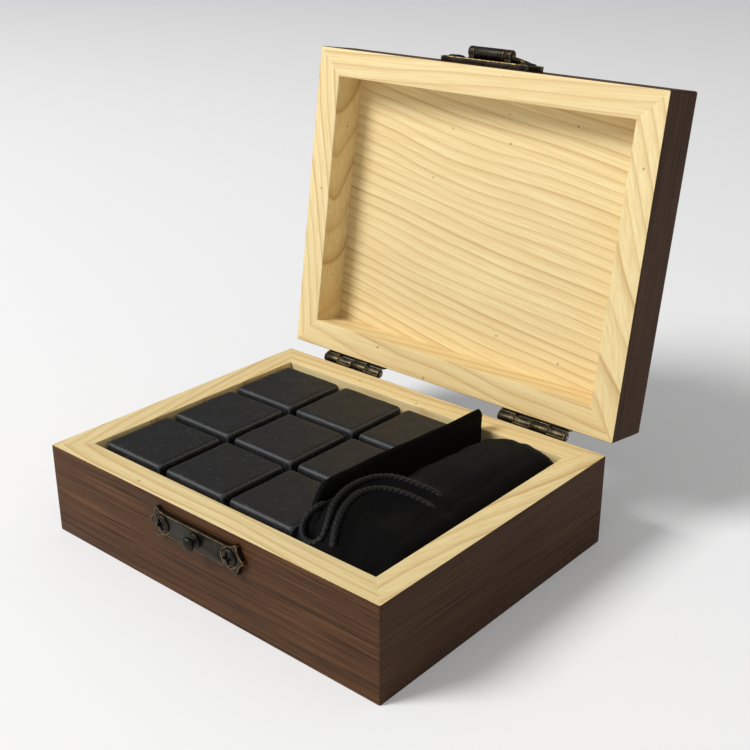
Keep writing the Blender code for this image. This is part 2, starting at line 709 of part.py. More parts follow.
# Each point is X, Y and the height above the floor the case stands on, in millimetres
OUTER_CORD_ROUTE = [
    (22.9, -25.4, 27.7),
    (22.0, -28.4, 26.8),
    (21.9, -30.7, 24.6),
    (23.7, -32.2, 22.9),
    (26.3, -32.3, 22.8),
    (27.9, -31.1, 24.4),
    (27.2, -28.7, 26.5),
    (25.7, -25.5, 28.3),
    (24.6, -21.6, 29.2),
    (24.2, -17.2, 29.5),
    (24.9, -12.6, 29.4),
    (27.0, -8.9, 29.0),
    (29.9, -7.1, 28.5),
    (33.0, -5.9, 27.7),
    (35.9, -4.6, 26.8),
    (38.3, -4.4, 25.6),
]
INNER_CORD_ROUTE = [
    (31.6, -32.3, 22.6),
    (31.0, -31.2, 24.6),
    (29.6, -28.7, 26.6),
    (28.1, -25.1, 28.1),
    (27.2, -21.2, 28.9),
    (27.3, -17.6, 29.1),
    (28.8, -14.2, 28.9),
    (31.5, -11.9, 28.3),
    (34.4, -10.3, 27.4),
    (37.2, -9.1, 26.3),
    (39.2, -8.6, 25.3),
]


def cord(name, route):
    curve = bpy.data.curves.new(name, "CURVE")
    curve.dimensions = "3D"
    curve.bevel_depth = CORD_DIAMETER / 2
    curve.bevel_resolution = 2
    curve.use_fill_caps = True
    points = smooth_route([Vector(point) / 1000 for point in route], 2)
    spline = curve.splines.new("POLY")
    spline.points.add(len(points) - 1)
    for target, point in zip(spline.points, points):
        target.co = (*point, 1)
    curve.materials.append(CORD)
    obj = bpy.data.objects.new(name, curve)
    PARTS.objects.link(obj)


# Assembly ------------------------------------------------------------------------------------


def build():
    flat_board("base_bottom_board", 0, FLOOR_THICK)
    base = frame_of_boards("base", FLOOR_TOP, RIM)
    lid = add_pivot("lid_pivot", HINGE_AXIS, LID_OPEN_DEG)
    walls = frame_of_boards("lid", LID_RIM, LID_TOP_UNDERSIDE, lid)
    top_low = LID_TOP_UNDERSIDE + FIT_GAP
    flat_board("lid_top_board", top_low, top_low + TOP_THICK, lid, TOP_ROUND)
    screw = screw_mesh("hinge_screw", HINGE_SCREW, LEAF_FRONT)
    hinge("left", -HINGE_OFFSET, base["back"], walls["back"], lid, screw)
    hinge("right", HINGE_OFFSET, base["back"], walls["back"], lid, screw)
    latch(base["front"], walls["front"], lid)
    stones()
    pouch()
    cord("drawstring_outer", OUTER_CORD_ROUTE)
    cord("drawstring_inner", INNER_CORD_ROUTE)


build()
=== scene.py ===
# %% [markdown]
# # A hinged case of basalt stones
# A small wooden case stands open. Nine rounded basalt cubes fill its left side in a grid, and a folded
# velvet pouch with a braided drawstring fills the right side. A bronze hasp latch is screwed to the front.
# The CAD frame gives every size and place here. Each cell below makes one piece or one finish.

# %% Load the frame
import json
import math
import random

import bmesh
import bpy
import numpy as np
from mathutils import Matrix, Vector, noise

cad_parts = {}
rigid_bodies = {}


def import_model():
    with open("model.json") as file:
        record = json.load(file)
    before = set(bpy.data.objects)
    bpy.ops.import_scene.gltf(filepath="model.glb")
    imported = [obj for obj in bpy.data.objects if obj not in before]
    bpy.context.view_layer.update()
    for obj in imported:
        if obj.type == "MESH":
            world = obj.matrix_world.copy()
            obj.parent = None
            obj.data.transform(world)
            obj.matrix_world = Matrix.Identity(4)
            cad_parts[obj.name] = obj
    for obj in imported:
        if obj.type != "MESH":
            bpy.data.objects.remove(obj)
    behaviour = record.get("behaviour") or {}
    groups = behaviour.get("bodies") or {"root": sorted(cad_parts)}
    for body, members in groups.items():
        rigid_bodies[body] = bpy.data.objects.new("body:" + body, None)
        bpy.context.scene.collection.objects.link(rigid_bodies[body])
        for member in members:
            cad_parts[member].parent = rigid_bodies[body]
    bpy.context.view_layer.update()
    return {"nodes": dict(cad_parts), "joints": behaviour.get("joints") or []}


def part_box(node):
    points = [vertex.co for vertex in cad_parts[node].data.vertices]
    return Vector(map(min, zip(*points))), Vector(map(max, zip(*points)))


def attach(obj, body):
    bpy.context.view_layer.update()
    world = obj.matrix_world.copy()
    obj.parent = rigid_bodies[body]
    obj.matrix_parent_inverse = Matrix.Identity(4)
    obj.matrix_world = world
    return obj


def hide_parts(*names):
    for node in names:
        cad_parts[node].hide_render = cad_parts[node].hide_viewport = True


for startup_object in list(bpy.data.objects):
    bpy.data.objects.remove(startup_object, do_unlink=True)
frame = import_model()

# %% [markdown]
# ## Camera
# The camera stands where a person at a table would hold one, near the right front corner and close by, so
# the near edges spread a little. A longer lens from further off would flatten the case. The lens is chosen
# so that the open lid and the base together nearly fill the view.

# %% Camera
MM = 0.001
CAMERA_PLACE = Vector((175.05, -185.03, 152.02)) * MM
CAMERA_AIM = Vector((10.1, 6.1, 43.5)) * MM
CAMERA_LENS = 57.4

camera_data = bpy.data.cameras.new("camera")
camera_data.lens = CAMERA_LENS
camera_data.clip_start = 0.01
camera = bpy.data.objects.new("camera", camera_data)
camera.location = CAMERA_PLACE
camera.rotation_mode = "QUATERNION"
camera.rotation_quaternion = (CAMERA_AIM - CAMERA_PLACE).to_track_quat("-Z", "Y")
bpy.context.scene.collection.objects.link(camera)
bpy.context.scene.camera = camera
print("camera to aim", round((CAMERA_AIM - CAMERA_PLACE).length, 3), "m")

# %% [markdown]
# ## Where things are
# The lid's pieces are easier to draw with the lid shut, when every board is square to the axes. One matrix
# then opens the lid about its hinge, and a second one also flips the latch's tongue back. The joints'
# own axes and ranges give both matrices, so the pieces land exactly on the frame.

# %% Opened and flipped places
joints = {joint["name"]: joint for joint in frame["joints"]}


def turn_on(joint_name, degrees):
    """The matrix that turns a thing about a joint's axis."""
    pivot = Vector(joints[joint_name]["pos_m"])
    axis = Vector(joints[joint_name]["axis"])
    spin = Matrix.Rotation(math.radians(degrees), 4, axis)
    return Matrix.Translation(pivot) @ spin @ Matrix.Translation(-pivot)


AS_DRAWN = Matrix.Identity(4)
OPENED = turn_on("lid_hinge", -joints["lid_hinge"]["range_deg"][0])
FLIPPED = turn_on("hasp_hinge", -joints["hasp_hinge"]["range_deg"][0]) @ OPENED


def shut_box(node):
    """Lowest and highest corner of one of the lid's nodes with the lid shut."""
    back = OPENED.inverted()
    points = np.array([back @ vertex.co for vertex in frame["nodes"][node].data.vertices])
    return Vector(points.min(axis=0)), Vector(points.max(axis=0))


bottom_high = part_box("base_bottom_board")[1]
front_low, front_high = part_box("base_front_board")
lid_wall_low = shut_box("lid_front_board")[0]
lid_top_low, lid_top_high = shut_box("lid_top_board")
HALF_WIDTH = bottom_high.x
HALF_DEPTH = bottom_high.y
WALL = front_high.y - front_low.y
FLOOR_TOP = bottom_high.z
RIM = front_high.z
print("case", 2 * HALF_WIDTH, "x", 2 * HALF_DEPTH, "m, walls", round(WALL, 4), "rim", round(RIM, 4))

# %% [markdown]
# ## Tools for meshes
# Most pieces here are rings of points joined by quads, with a flat cap at each end: a board is a stack of
# outlines, a knob is a stack of circles. Building them ring by ring puts points only where an edge is
# rounded, and lets a ring carry a value, such as how far its edge is worn.

# %% Mesh tools
# The worn value also marks where painted highlights go: the basalt's rounded edges and the bronze's outward
# faces.
WORN = "worn"  # 1 on an arris that hands and cloths rub, 0 away from it
GRAIN = "grain"  # where each point was in the plank it was sawn from
LENGTHWAYS = "lengthways"  # the same, with the plank running true along the board


def new_mesh(name, points, faces, worn=None):
    mesh = bpy.data.meshes.new(name)
    mesh.from_pydata([tuple(point) for point in points], [], faces)
    mesh.update()
    if worn is not None:
        layer = mesh.attributes.new(WORN, "FLOAT", "POINT")
        layer.data.foreach_set("value", np.array(worn, np.float32))
    return mesh


def stacked_rings(name, rings, worn=None, capped=True):
    """Joins rings of equal length with quads. worn has one value for each point of each ring."""
    count = len(rings[0])
    points = [point for ring in rings for point in ring]
    faces = []
    for level in range(len(rings) - 1):
        for index in range(count):
            a = level * count + index
            b = level * count + (index + 1) % count
            faces.append((a, b, b + count, a + count))
    if capped:
        faces.append(tuple(reversed(range(count))))
        faces.append(tuple(range((len(rings) - 1) * count, len(rings) * count)))
    values = None if worn is None else [value for ring in worn for value in ring]
    return new_mesh(name, points, faces, values)


def turned(name, profile, sides=32, worn=None):
    """A shape from a lathe: (radius, height) points, turned about Z."""
    circle = [(math.cos(a), math.sin(a)) for a in np.arange(sides) * math.tau / sides]
    rings = [[(radius * x, radius * y, height) for x, y in circle] for radius, height in profile]
    values = [[value] * sides for value in (worn or [0] * len(profile))]
    return stacked_rings(name, rings, values)


def outward(mesh):
    bm = bmesh.new()
    bm.from_mesh(mesh)
    bmesh.ops.remove_doubles(bm, verts=bm.verts, dist=1e-7)
    bmesh.ops.recalc_face_normals(bm, faces=bm.faces)
    bm.to_mesh(mesh)
    bm.free()
    return mesh


def smooth(mesh, sharp_deg=38):
    mesh.shade_smooth()
    mesh.set_sharp_from_angle(angle=math.radians(sharp_deg))
    return mesh


def carve(mesh, other):
    """The mesh with another one cut from it."""
    holder = bpy.data.objects.new("work", outward(mesh))
    cutter = bpy.data.objects.new("tool", outward(other))
    for obj in (holder, cutter):
        bpy.context.scene.collection.objects.link(obj)
    modifier = holder.modifiers.new("carve", "BOOLEAN")
    modifier.object = cutter
    modifier.operation = "DIFFERENCE"
    modifier.solver = "EXACT"
    bpy.context.view_layer.update()
    graph = bpy.context.evaluated_depsgraph_get()
    made = bpy.data.meshes.new_from_object(holder.evaluated_get(graph))
    for obj in (holder, cutter):
        bpy.data.objects.remove(obj, do_unlink=True)
    return made


def moved(mesh, matrix):
    mesh.transform(matrix)
    return mesh


# %% [markdown]
# ## Placing a piece
# Every piece gets its materials, is linked at its place, told which moving body it rides on, and hides the
# nodes of the frame that it stands for. One helper does the four steps in the same order each time, so none
# is forgotten.

# %% Placing a piece
made_pieces = []


def add_piece(name, mesh, materials, place, body, slot, *nodes):
    """Links a mesh as a piece that rides on a body and stands for the CAD nodes named last."""
    mesh.name = name
    for material in materials:
        mesh.materials.append(material)
    piece = bpy.data.objects.new(name, mesh)
    bpy.context.scene.collection.objects.link(piece)
    piece.matrix_world = place
    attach(piece, body)
    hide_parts(*nodes)
    made_pieces.append(piece)
    return piece


# %% [markdown]
# ## Tools for finishes
# A finish is a small graph of shader nodes. One helper adds a node and fills its sockets, so that a graph
# reads as a list of steps. Effects that several finishes share are node groups with named inputs.

# %% Shader tools


def step(tree, kind, inputs=None, **settings):
    """Adds a shader node. inputs maps a socket's name or number to a value or to another node's output."""
    made = tree.nodes.new(kind)
    for key, value in settings.items():
        setattr(made, key, value)
    for key, value in (inputs or {}).items():
        socket = made.inputs[key]
        if isinstance(value, bpy.types.NodeSocket):
            tree.links.new(value, socket)
        else:
            socket.default_value = value
    return made


def number(tree, operation, first, second=0.0, third=None, clamp=False):
    values = {0: first, 1: second}
    if third is not None:
        values[2] = third
    made = step(tree, "ShaderNodeMath", values, operation=operation, use_clamp=clamp)
    return made.outputs[0]


def blend_colours(tree, share, first, second):
    made = step(tree, "ShaderNodeMix", data_type="RGBA")
    for socket, value in ((made.inputs[0], share), (made.inputs[6], first), (made.inputs[7], second)):
        if isinstance(value, bpy.types.NodeSocket):
            tree.links.new(value, socket)
        else:
            socket.default_value = value
    return made.outputs[2]


def ramp(tree, share, stops):
    made = step(tree, "ShaderNodeValToRGB", {"Fac": share})
    marks = made.color_ramp.elements
    while len(marks) > 1:
        marks.remove(marks[-1])
    for index, (position, value) in enumerate(stops):
        mark = marks[0] if index == 0 else marks.new(position)
        mark.position = position
        mark.color = value if hasattr(value, "__len__") else (value, value, value, 1)
    return made.outputs[0]


def stretched(tree, place, factors):
    """The place times a factor for each axis, so that a pattern drawn on it is long or short that way."""
    return step(tree, "ShaderNodeVectorMath", {0: place, 1: factors}, operation="MULTIPLY").outputs[0]


def soft_noise(tree, place, scale, detail):
    return step(tree, "ShaderNodeTexNoise", {"Vector": place, "Scale": scale, "Detail": detail}).outputs[0]


def add_relief(tree, shader, height, strength, depth):
    """Lets a height value tilt the light on the surface. depth is in metres."""
    bump = step(tree, "ShaderNodeBump", {"Height": height, "Strength": strength, "Distance": depth})
    tree.links.new(bump.outputs[0], shader.inputs["Normal"])


def group_tree(name, inputs, outputs):
    """A node group with named sockets. inputs are (name, kind, value) and outputs are (name, kind)."""
    tree = bpy.data.node_groups.new(name, "ShaderNodeTree")
    for label, kind, value in inputs:
        socket = tree.interface.new_socket(label, in_out="INPUT", socket_type=f"NodeSocket{kind}")
        if value is not None:
            socket.default_value = value
    for label, kind in outputs:
        tree.interface.new_socket(label, in_out="OUTPUT", socket_type=f"NodeSocket{kind}")
    return tree, tree.nodes.new("NodeGroupInput").outputs, tree.nodes.new("NodeGroupOutput").inputs


def use_group(tree, group, inputs):
    made = tree.nodes.new("ShaderNodeGroup")
    made.node_tree = group
    for key, value in inputs.items():
        socket = made.inputs[key]
        if isinstance(value, bpy.types.NodeSocket):
            tree.links.new(value, socket)
        else:
            socket.default_value = value
    return made.outputs


def new_finish(name):
    material = bpy.data.materials.new(name)
    material.use_nodes = True
    tree = material.node_tree
    return material, tree, tree.nodes["Principled BSDF"]


def colour(red, green, blue):
    """A colour as it looks on a screen, 0 to 255, as the linear colour that a shader needs."""
    parts = [part / 255 for part in (red, green, blue)]
    return (*(p / 12.92 if p <= 0.04045 else ((p + 0.055) / 1.055) ** 2.4 for p in parts), 1)


# %% [markdown]
# ## Wood figure
# Pine shows its growth rings: each year adds a pale band that darkens slowly to amber and stops sharply.
# A flat picture of lines would not agree from face to face, so this group works in the plank's own space:
# the distance from the heart of the log gives the ring, and slow noise makes the rings wander. Very long
# thin noise along the plank gives the fibres.

# %% Wood figure group
wood_figure, given, out = group_tree(
    "wood figure",
    [("Grain", "Vector", None), ("Ring width", "Float", 0.003), ("Wander", "Float", 0.003)],
    [("Late wood", "Float"), ("Fibre", "Float"), ("Pores", "Float"), ("Cloud", "Float")],
)
wander = soft_noise(wood_figure, stretched(wood_figure, given["Grain"], (14, 45, 45)), 1.0, 1.5)
across = stretched(wood_figure, given["Grain"], (0, 1, 1))
from_heart = step(wood_figure, "ShaderNodeVectorMath", {0: across}, operation="LENGTH")
swing = number(wood_figure, "SUBTRACT", wander, 0.5)
swing = number(wood_figure, "MULTIPLY", swing, given["Wander"])
radius = number(wood_figure, "MULTIPLY_ADD", swing, 4.0, from_heart.outputs["Value"])
rings = number(wood_figure, "DIVIDE", radius, given["Ring width"])
year = number(wood_figure, "FRACT", rings)
YEAR_TONES = ((0, 0.12), (0.1, 0), (0.55, 0.06), (0.84, 0.5), (0.93, 1), (0.98, 0.4), (1, 0.12))
late = ramp(wood_figure, year, YEAR_TONES)
which_year = number(wood_figure, "FLOOR", rings)
strength = step(wood_figure, "ShaderNodeTexWhiteNoise", {"W": which_year}, noise_dimensions="1D").outputs[0]
late = number(wood_figure, "MULTIPLY", late, number(wood_figure, "MULTIPLY_ADD", strength, 0.55, 0.45))
wood_figure.links.new(late, out["Late wood"])
fibre = soft_noise(wood_figure, stretched(wood_figure, given["Grain"], (26, 1900, 1900)), 1.0, 4.0)
wood_figure.links.new(fibre, out["Fibre"])
pores = soft_noise(wood_figure, stretched(wood_figure, given["Grain"], (38, 3400, 3400)), 1.0, 2.0)
wood_figure.links.new(ramp(wood_figure, pores, ((0.56, 0), (0.68, 1))), out["Pores"])
cloud = soft_noise(wood_figure, stretched(wood_figure, given["Grain"], (22, 70, 70)), 1.0, 3.0)
wood_figure.links.new(cloud, out["Cloud"])
print("wood figure group:", len(wood_figure.nodes), "nodes")

# %% [markdown]
# ## Edge wear
# Stain and dark metal coatings rub off first along the arrises. Each mesh carries a value that is 1 on an
# arris and 0 away from it. This group breaks that band up with noise, so the worn edge comes in patches
# and its border is ragged. The same mask also places painted highlights: the lighter rounded edges of the
# basalt, with their dust, and the pale outward faces of the bronze's rib and barrel.

# %% Edge wear group
edge_wear_and_glint, given, out = group_tree(
    "edge wear",
    [
        ("Worn", "Float", 0.0),
        ("Amount", "Float", 0.5),
        ("Patches", "Vector", None),
        ("Raggedness", "Float", 0.5),
        ("Sharpness", "Float", 5.0),
    ],
    [("Mask", "Float")],
)
patch = soft_noise(edge_wear_and_glint, given["Patches"], 1.0, 4.0)
lift = number(edge_wear_and_glint, "SUBTRACT", patch, 0.5)
lift = number(edge_wear_and_glint, "MULTIPLY_ADD", lift, given["Raggedness"], given["Worn"])
floor_level = number(edge_wear_and_glint, "SUBTRACT", 1.0, given["Amount"])
mask = number(edge_wear_and_glint, "SUBTRACT", lift, floor_level)
mask = number(edge_wear_and_glint, "MULTIPLY", mask, given["Sharpness"], clamp=True)
edge_wear_and_glint.links.new(mask, out["Mask"])
print("edge wear group:", len(edge_wear_and_glint.nodes), "nodes")

# %% [markdown]
# ## Raw pine
# The rims and the inside are bare, sanded pine: cream with amber rings, nearly matt, with fine fibres and a
# few dark specks.

# %% Raw pine
PINE_PALE = colour(238, 218, 164)
PINE_AMBER = colour(190, 148, 86)
PINE_FIBRE = colour(224, 194, 134)
PINE_SPECK = colour(120, 84, 50)


def grain_of(tree, attribute=GRAIN):
    return step(tree, "ShaderNodeAttribute", attribute_name=attribute).outputs["Vector"]


def worn_of(tree):
    return step(tree, "ShaderNodeAttribute", attribute_name=WORN).outputs["Fac"]


def edge_wear_and_glint_mask(tree, place, factors, settings):
    """The edge mask for wear, and for the painted highlights on the basalt and the bronze, with its patches
    stretched by factors.
    """
    given = {"Worn": worn_of(tree), "Patches": stretched(tree, place, factors)}
    return use_group(tree, edge_wear_and_glint, {**given, **settings})["Mask"]


raw_pine, tree, shader = new_finish("raw_pine")
grain = grain_of(tree)
figure = use_group(tree, wood_figure, {"Grain": grain, "Ring width": 0.0027, "Wander": 0.0022})
fibre_share = number(tree, "MULTIPLY", number(tree, "SUBTRACT", figure["Fibre"], 0.40, clamp=True), 2.6)
pine = blend_colours(tree, fibre_share, PINE_PALE, PINE_FIBRE)
pine = blend_colours(tree, number(tree, "MULTIPLY", figure["Late wood"], 0.9), pine, PINE_AMBER)
warm_cloud = number(tree, "MULTIPLY", number(tree, "SUBTRACT", figure["Cloud"], 0.45, clamp=True), 1.2)
pine = blend_colours(tree, warm_cloud, pine, PINE_FIBRE)
dots = step(tree, "ShaderNodeTexVoronoi", {"Vector": grain, "Scale": 130.0})
dot_mask = ramp(tree, dots.outputs["Distance"], ((0.035, 1), (0.06, 0)))
pine = blend_colours(tree, number(tree, "MULTIPLY", dot_mask, 0.6), pine, PINE_SPECK)
tree.links.new(pine, shader.inputs["Base Color"])
tree.links.new(number(tree, "MULTIPLY_ADD", figure["Late wood"], -0.12, 0.62), shader.inputs["Roughness"])
relief = number(tree, "MULTIPLY_ADD", figure["Late wood"], 0.5, figure["Fibre"])
add_relief(tree, shader, relief, 0.35, 0.12 * MM)

# %% [markdown]
# ## Walnut stain
# Outside, the same pine is stained dark walnut and rubbed back. The stain takes darker in the pores and
# fibres, so long fine lines run along each board. Drawn on the tilted plank they would dive into the face
# and show as dashes, so the stain uses the place along the board instead. The top board took more stain
# and is redder. The ends get a darker, greyer copy of the stain, which is painted shade. Where an arris is
# worn, the pale wood shows through.

# %% Walnut stain
WORN_WOOD = colour(196, 146, 84)


def stained(name, light, dark, pore, gloss, shine, wear_amount, wear_strength):
    material, tree, shader = new_finish(name)
    grain = grain_of(tree, LENGTHWAYS)
    figure = use_group(tree, wood_figure, {"Grain": grain, "Ring width": 0.0042, "Wander": 0.003})
    share = ramp(tree, figure["Fibre"], ((0.32, 0), (0.68, 1)))
    wood = blend_colours(tree, share, dark, light)
    wood = blend_colours(tree, number(tree, "MULTIPLY", figure["Late wood"], 0.35), wood, dark)
    deep = number(tree, "MULTIPLY", number(tree, "SUBTRACT", 0.62, figure["Cloud"], clamp=True), 1.6)
    wood = blend_colours(tree, deep, wood, dark)
    wood = blend_colours(tree, number(tree, "MULTIPLY", figure["Pores"], 0.6), wood, pore)
    settings = {"Amount": wear_amount, "Raggedness": 0.6, "Sharpness": 1.7}
    rubbed = edge_wear_and_glint_mask(tree, grain, (1200, 2400, 2400), settings)
    wood = blend_colours(tree, number(tree, "MULTIPLY", rubbed, wear_strength), wood, WORN_WOOD)
    tree.links.new(wood, shader.inputs["Base Color"])
    rough = number(tree, "MULTIPLY_ADD", figure["Pores"], 0.18, gloss)
    tree.links.new(number(tree, "MULTIPLY_ADD", rubbed, 0.12, rough), shader.inputs["Roughness"])
    shader.inputs["Specular IOR Level"].default_value = shine
    relief = number(tree, "MULTIPLY_ADD", figure["Pores"], -0.8, figure["Fibre"])
    add_relief(tree, shader, relief, 0.4, 0.1 * MM)
    return material


# Light, dark and pore colours, then roughness, shine, and how far and how strongly an arris is rubbed
STAINS = {
    "stained_side": ((100, 66, 38), (60, 38, 22), (26, 15, 8), 0.52, 0.14, 0.44, 0.9),
    "stained_top": ((84, 42, 21), (50, 25, 13), (24, 10, 5), 0.40, 0.28, 0.52, 0.95),
    # The end copy is darker and greyer: painted shade.
    "shaded_end_stain": ((88, 60, 38), (58, 38, 24), (24, 14, 8), 0.54, 0.1, 0.36, 0.8),
}
stained_side, stained_top, shaded_end_stain = (
    stained(name, *(colour(*tone) for tone in values[:3]), *values[3:]) for name, values in STAINS.items()
)
print("three stains")

# %% [markdown]
# ## Boards
# Each wall is a pine board with a mitre at both ends, so that no end grain shows and the stain meets at the
# corner. It is drawn as a stack of outlines seen from above. The outer arris of the rim is barely rounded,
# and the outer corner is an arc that ends exactly on the mitre. Every board remembers which part of the
# plank it was sawn from, so its figure runs through the wood and differs from its neighbour's.

# %% Wall boards
ARRIS = 0.25 * MM
CORNER = 0.45 * MM
WEAR_FADES = (0.8 * MM, 2.4 * MM)  # wear is half gone at the first distance and gone at the second
CORNER_WEAR = 0.5
RIM_WEAR = 0.55


def ends_and_fades(half):
    """Stations along an edge, with the wear that its two ends give to each."""
    near, far = WEAR_FADES
    inner = [(-half + far, 0.0), (0.0, 0.0), (half - far, 0.0)]
    return [(-half, 1.0), (-half + near, 0.5), *inner, (half - near, 0.5), (half, 1.0)]


def wall_outline(half_length, set_back):
    """A wall from above, outer face on y = 0, inner on y = WALL, smaller by set_back where it is rounded."""
    points, worn = [], []
    for x, wear in ends_and_fades(half_length - CORNER):
        points.append((x, set_back))
        worn.append(wear)
    for part in (1, 2, 3):
        angle = math.radians(-90 + 15 * part)
        reach = CORNER - set_back
        points.append((half_length - CORNER + reach * math.cos(angle), CORNER + reach * math.sin(angle)))
        worn.append(1.0)
    points.append((half_length - WALL + set_back, WALL - set_back))
    points.append((-half_length + WALL - set_back, WALL - set_back))
    worn += [0.0, 0.0]
    for part in (3, 2, 1):
        angle = math.radians(-90 + 15 * part)
        reach = CORNER - set_back
        points.append((-half_length + CORNER - reach * math.cos(angle), CORNER + reach * math.sin(angle)))
        worn.append(1.0)
    return points, worn


def rounding(radius, steps):
    """(depth below the face, set back) pairs for a quarter round that ends in the face."""
    angles = [math.pi / 2 * part / steps for part in range(steps + 1)]
    return [(radius * (1 - math.sin(a)), radius * (1 - math.cos(a))) for a in angles]


def sawn_from(mesh, heart, tilt_deg, pitch_deg):
    """Stores each point's place in its plank. heart is the log's centre seen from the board's own middle."""
    turn = Matrix.Rotation(math.radians(tilt_deg), 3, "Z") @ Matrix.Rotation(math.radians(pitch_deg), 3, "Y")
    for attribute, turned_by in ((GRAIN, turn), (LENGTHWAYS, Matrix.Identity(3))):
        layer = mesh.attributes.new(attribute, "FLOAT_VECTOR", "POINT")
        places = [turned_by @ vertex.co - Vector(heart) for vertex in mesh.vertices]
        layer.data.foreach_set("vector", np.array(places, np.float32).ravel())
    return mesh


def wall_board(half_length, low, high, rim_up):
    """A mitred wall between two heights, with its rim at the top or, for the lid, at the bottom."""
    near, far = WEAR_FADES
    levels = [(0.0, 0.0, 0.0), (near, 0.0, 0.0), ((high - low) / 2, 0.0, 0.0)]
    levels += [(high - low - far, 0.0, 0.0), (high - low - near, 0.0, 0.5)]
    levels += [(high - low - depth, back, 1.0) for depth, back in rounding(ARRIS, 3)]
    rings, worn = [], []
    for height, set_back, wear in levels:
        outline, ends = wall_outline(half_length, set_back)
        z = low + height if rim_up else high - height
        rings.append([(x, y, z) for x, y in outline])
        worn.append([max(RIM_WEAR * wear, CORNER_WEAR * end) if y < WALL / 2 else 0.0
                     for (x, y), end in zip(outline, ends)])
    mesh = stacked_rings("wall", rings, worn)
    count = len(rings[0])
    bare_from = (len(levels) - 2) * count
    for face in mesh.polygons:
        middle_y = sum(mesh.vertices[v].co.y for v in face.vertices) / len(face.vertices)
        is_cap = face.index >= (len(levels) - 1) * count
        on_outside = middle_y < 0.4 * CORNER + ARRIS
        face.material_index = 0 if on_outside and not is_cap and face.index < bare_from else 1
    outward(mesh)
    return smooth(mesh)


# The end walls take the end copy of the stain, with its painted shade.
SIDES = {
    "front": (HALF_WIDTH, 0, (0, -HALF_DEPTH, 0), stained_side),
    "right": (HALF_DEPTH, 90, (HALF_WIDTH, 0, 0), shaded_end_stain),
    "back": (HALF_WIDTH, 180, (0, HALF_DEPTH, 0), stained_side),
    "left": (HALF_DEPTH, 270, (-HALF_WIDTH, 0, 0), shaded_end_stain),
}
PLANK_CUTS = {
    "base_front": ((0.02, 0.071, -0.022), 1.5, 2),
    "base_right": ((0.31, 0.040, -0.018), 15.0, -5),
    "base_back": ((0.52, 0.083, 0.030), -2.5, 1),
    "base_left": ((0.77, 0.058, 0.026), -10.0, 3),
    "lid_front": ((1.04, 0.069, 0.014), 2.0, -2),
    "lid_right": ((1.33, 0.038, -0.020), 17.0, 6),
    "lid_back": ((1.58, 0.076, -0.028), -3.0, -2),
    "lid_left": ((1.86, 0.056, 0.018), 11.0, 3),
}


def add_walls(prefix, low, high, rim_up, opened, body):
    for side, (half_length, turn_deg, outer_middle, stain) in SIDES.items():
        mesh = wall_board(half_length, low, high, rim_up)
        sawn_from(mesh, *PLANK_CUTS[f"{prefix}_{side}"])
        place = Matrix.Translation(outer_middle) @ Matrix.Rotation(math.radians(turn_deg), 4, "Z")
        name = f"{prefix}_{side}_board"
        add_piece(f"{name}_pine", mesh, [stain, raw_pine], opened @ place, body, "stained_pine", name)


add_walls("base", FLOOR_TOP, RIM, True, AS_DRAWN, "base")
add_walls("lid", lid_wall_low.z, lid_top_low.z, False, OPENED, "lid")
print("walls", [piece.name for piece in made_pieces])

# %% [markdown]
# ## Flat boards
# The bottom and the lid's top lie over the whole plan of the case. The top's upper edge is a generous quarter
# round that gets handled most, so its front is worn to pale wood. Rings of points just inside the rounding
# hold the wear near the edge; without them the shader would smear it over the whole board.

# %% Bottom and top
TOP_ROUND = 1.9 * MM
TOP_FOOT = 0.001 * MM  # the lower arris; almost none, so the top meets its walls without a line
BOTTOM_ROUND = 0.03 * MM
BOTTOM_FOOT = 0.05 * MM
SIDE_WEAR = {"front": 0.95, "end": 0.4, "back": 0.6}


def rounded_plan(half_x, half_y, set_back, corner):
    """A rectangle with round corners, and how much wear each point's side gets."""
    points, wear = [], []
    half_x, half_y = half_x - set_back, half_y - set_back
    corner = max(corner - set_back, 0.08 * MM)
    sides = (
        (-90, half_x, half_y, "front", "end"),
        (0, half_y, half_x, "end", "back"),
        (90, half_x, half_y, "back", "end"),
        (180, half_y, half_x, "end", "front"),
    )
    for start_deg, half_along, half_out, here, after in sides:
        out = Vector((math.cos(math.radians(start_deg)), math.sin(math.radians(start_deg))))
        along = Vector((-out.y, out.x))
        for share in (-1, -0.5, 0, 0.5):
            points.append(out * half_out + along * share * (half_along - corner))
            wear.append(SIDE_WEAR[here])
        for part in range(5):
            angle = math.radians(start_deg + 22.5 * part)
            centre = out * (half_out - corner) + along * (half_along - corner)
            points.append(centre + Vector((math.cos(angle), math.sin(angle))) * corner)
            wear.append(SIDE_WEAR[here] + (SIDE_WEAR[after] - SIDE_WEAR[here]) * part / 4)
    return points, wear


def flat_board(low, high, round_top, foot, top_wear, low_wear):
    near, far = WEAR_FADES
    levels = [(low, foot, low_wear), (low + foot, 0.0, low_wear), (low + near, 0.0, 0.0)]
    levels += [(high - round_top - near / 2, 0.0, 0.1 * top_wear)]
    for part, (depth, back) in enumerate(rounding(round_top, 8)):
        # Hands reach the middle of the rounding more than its two ends
        reached = 0.3 + 0.7 * math.sin(math.pi * part / 8) ** 2
        levels.append((high - depth, back, reached * top_wear))
    levels += [(high, round_top + near, 0.05 * top_wear), (high, round_top + far, 0.0)]
    rings, worn = [], []
    for z, set_back, wear in levels:
        plan, side_wear = rounded_plan(HALF_WIDTH, HALF_DEPTH, set_back, CORNER)
        rings.append([(*point, z) for point in plan])
        worn.append([wear * share for share in side_wear])
    mesh = stacked_rings("flat", rings, worn)
    return smooth(outward(mesh), 30)


def finish_by_side(mesh, bare_facing):
    """First the finish for the rounding, then those for the bare face, the sides and the ends."""
    for face in mesh.polygons:
        if face.normal.z * bare_facing > 0.99:
            face.material_index = 1
        elif abs(face.normal.z) < 0.2:
            face.material_index = 2 if abs(face.normal.y) > 0.7 else 3
        else:
            face.material_index = 0
    return mesh
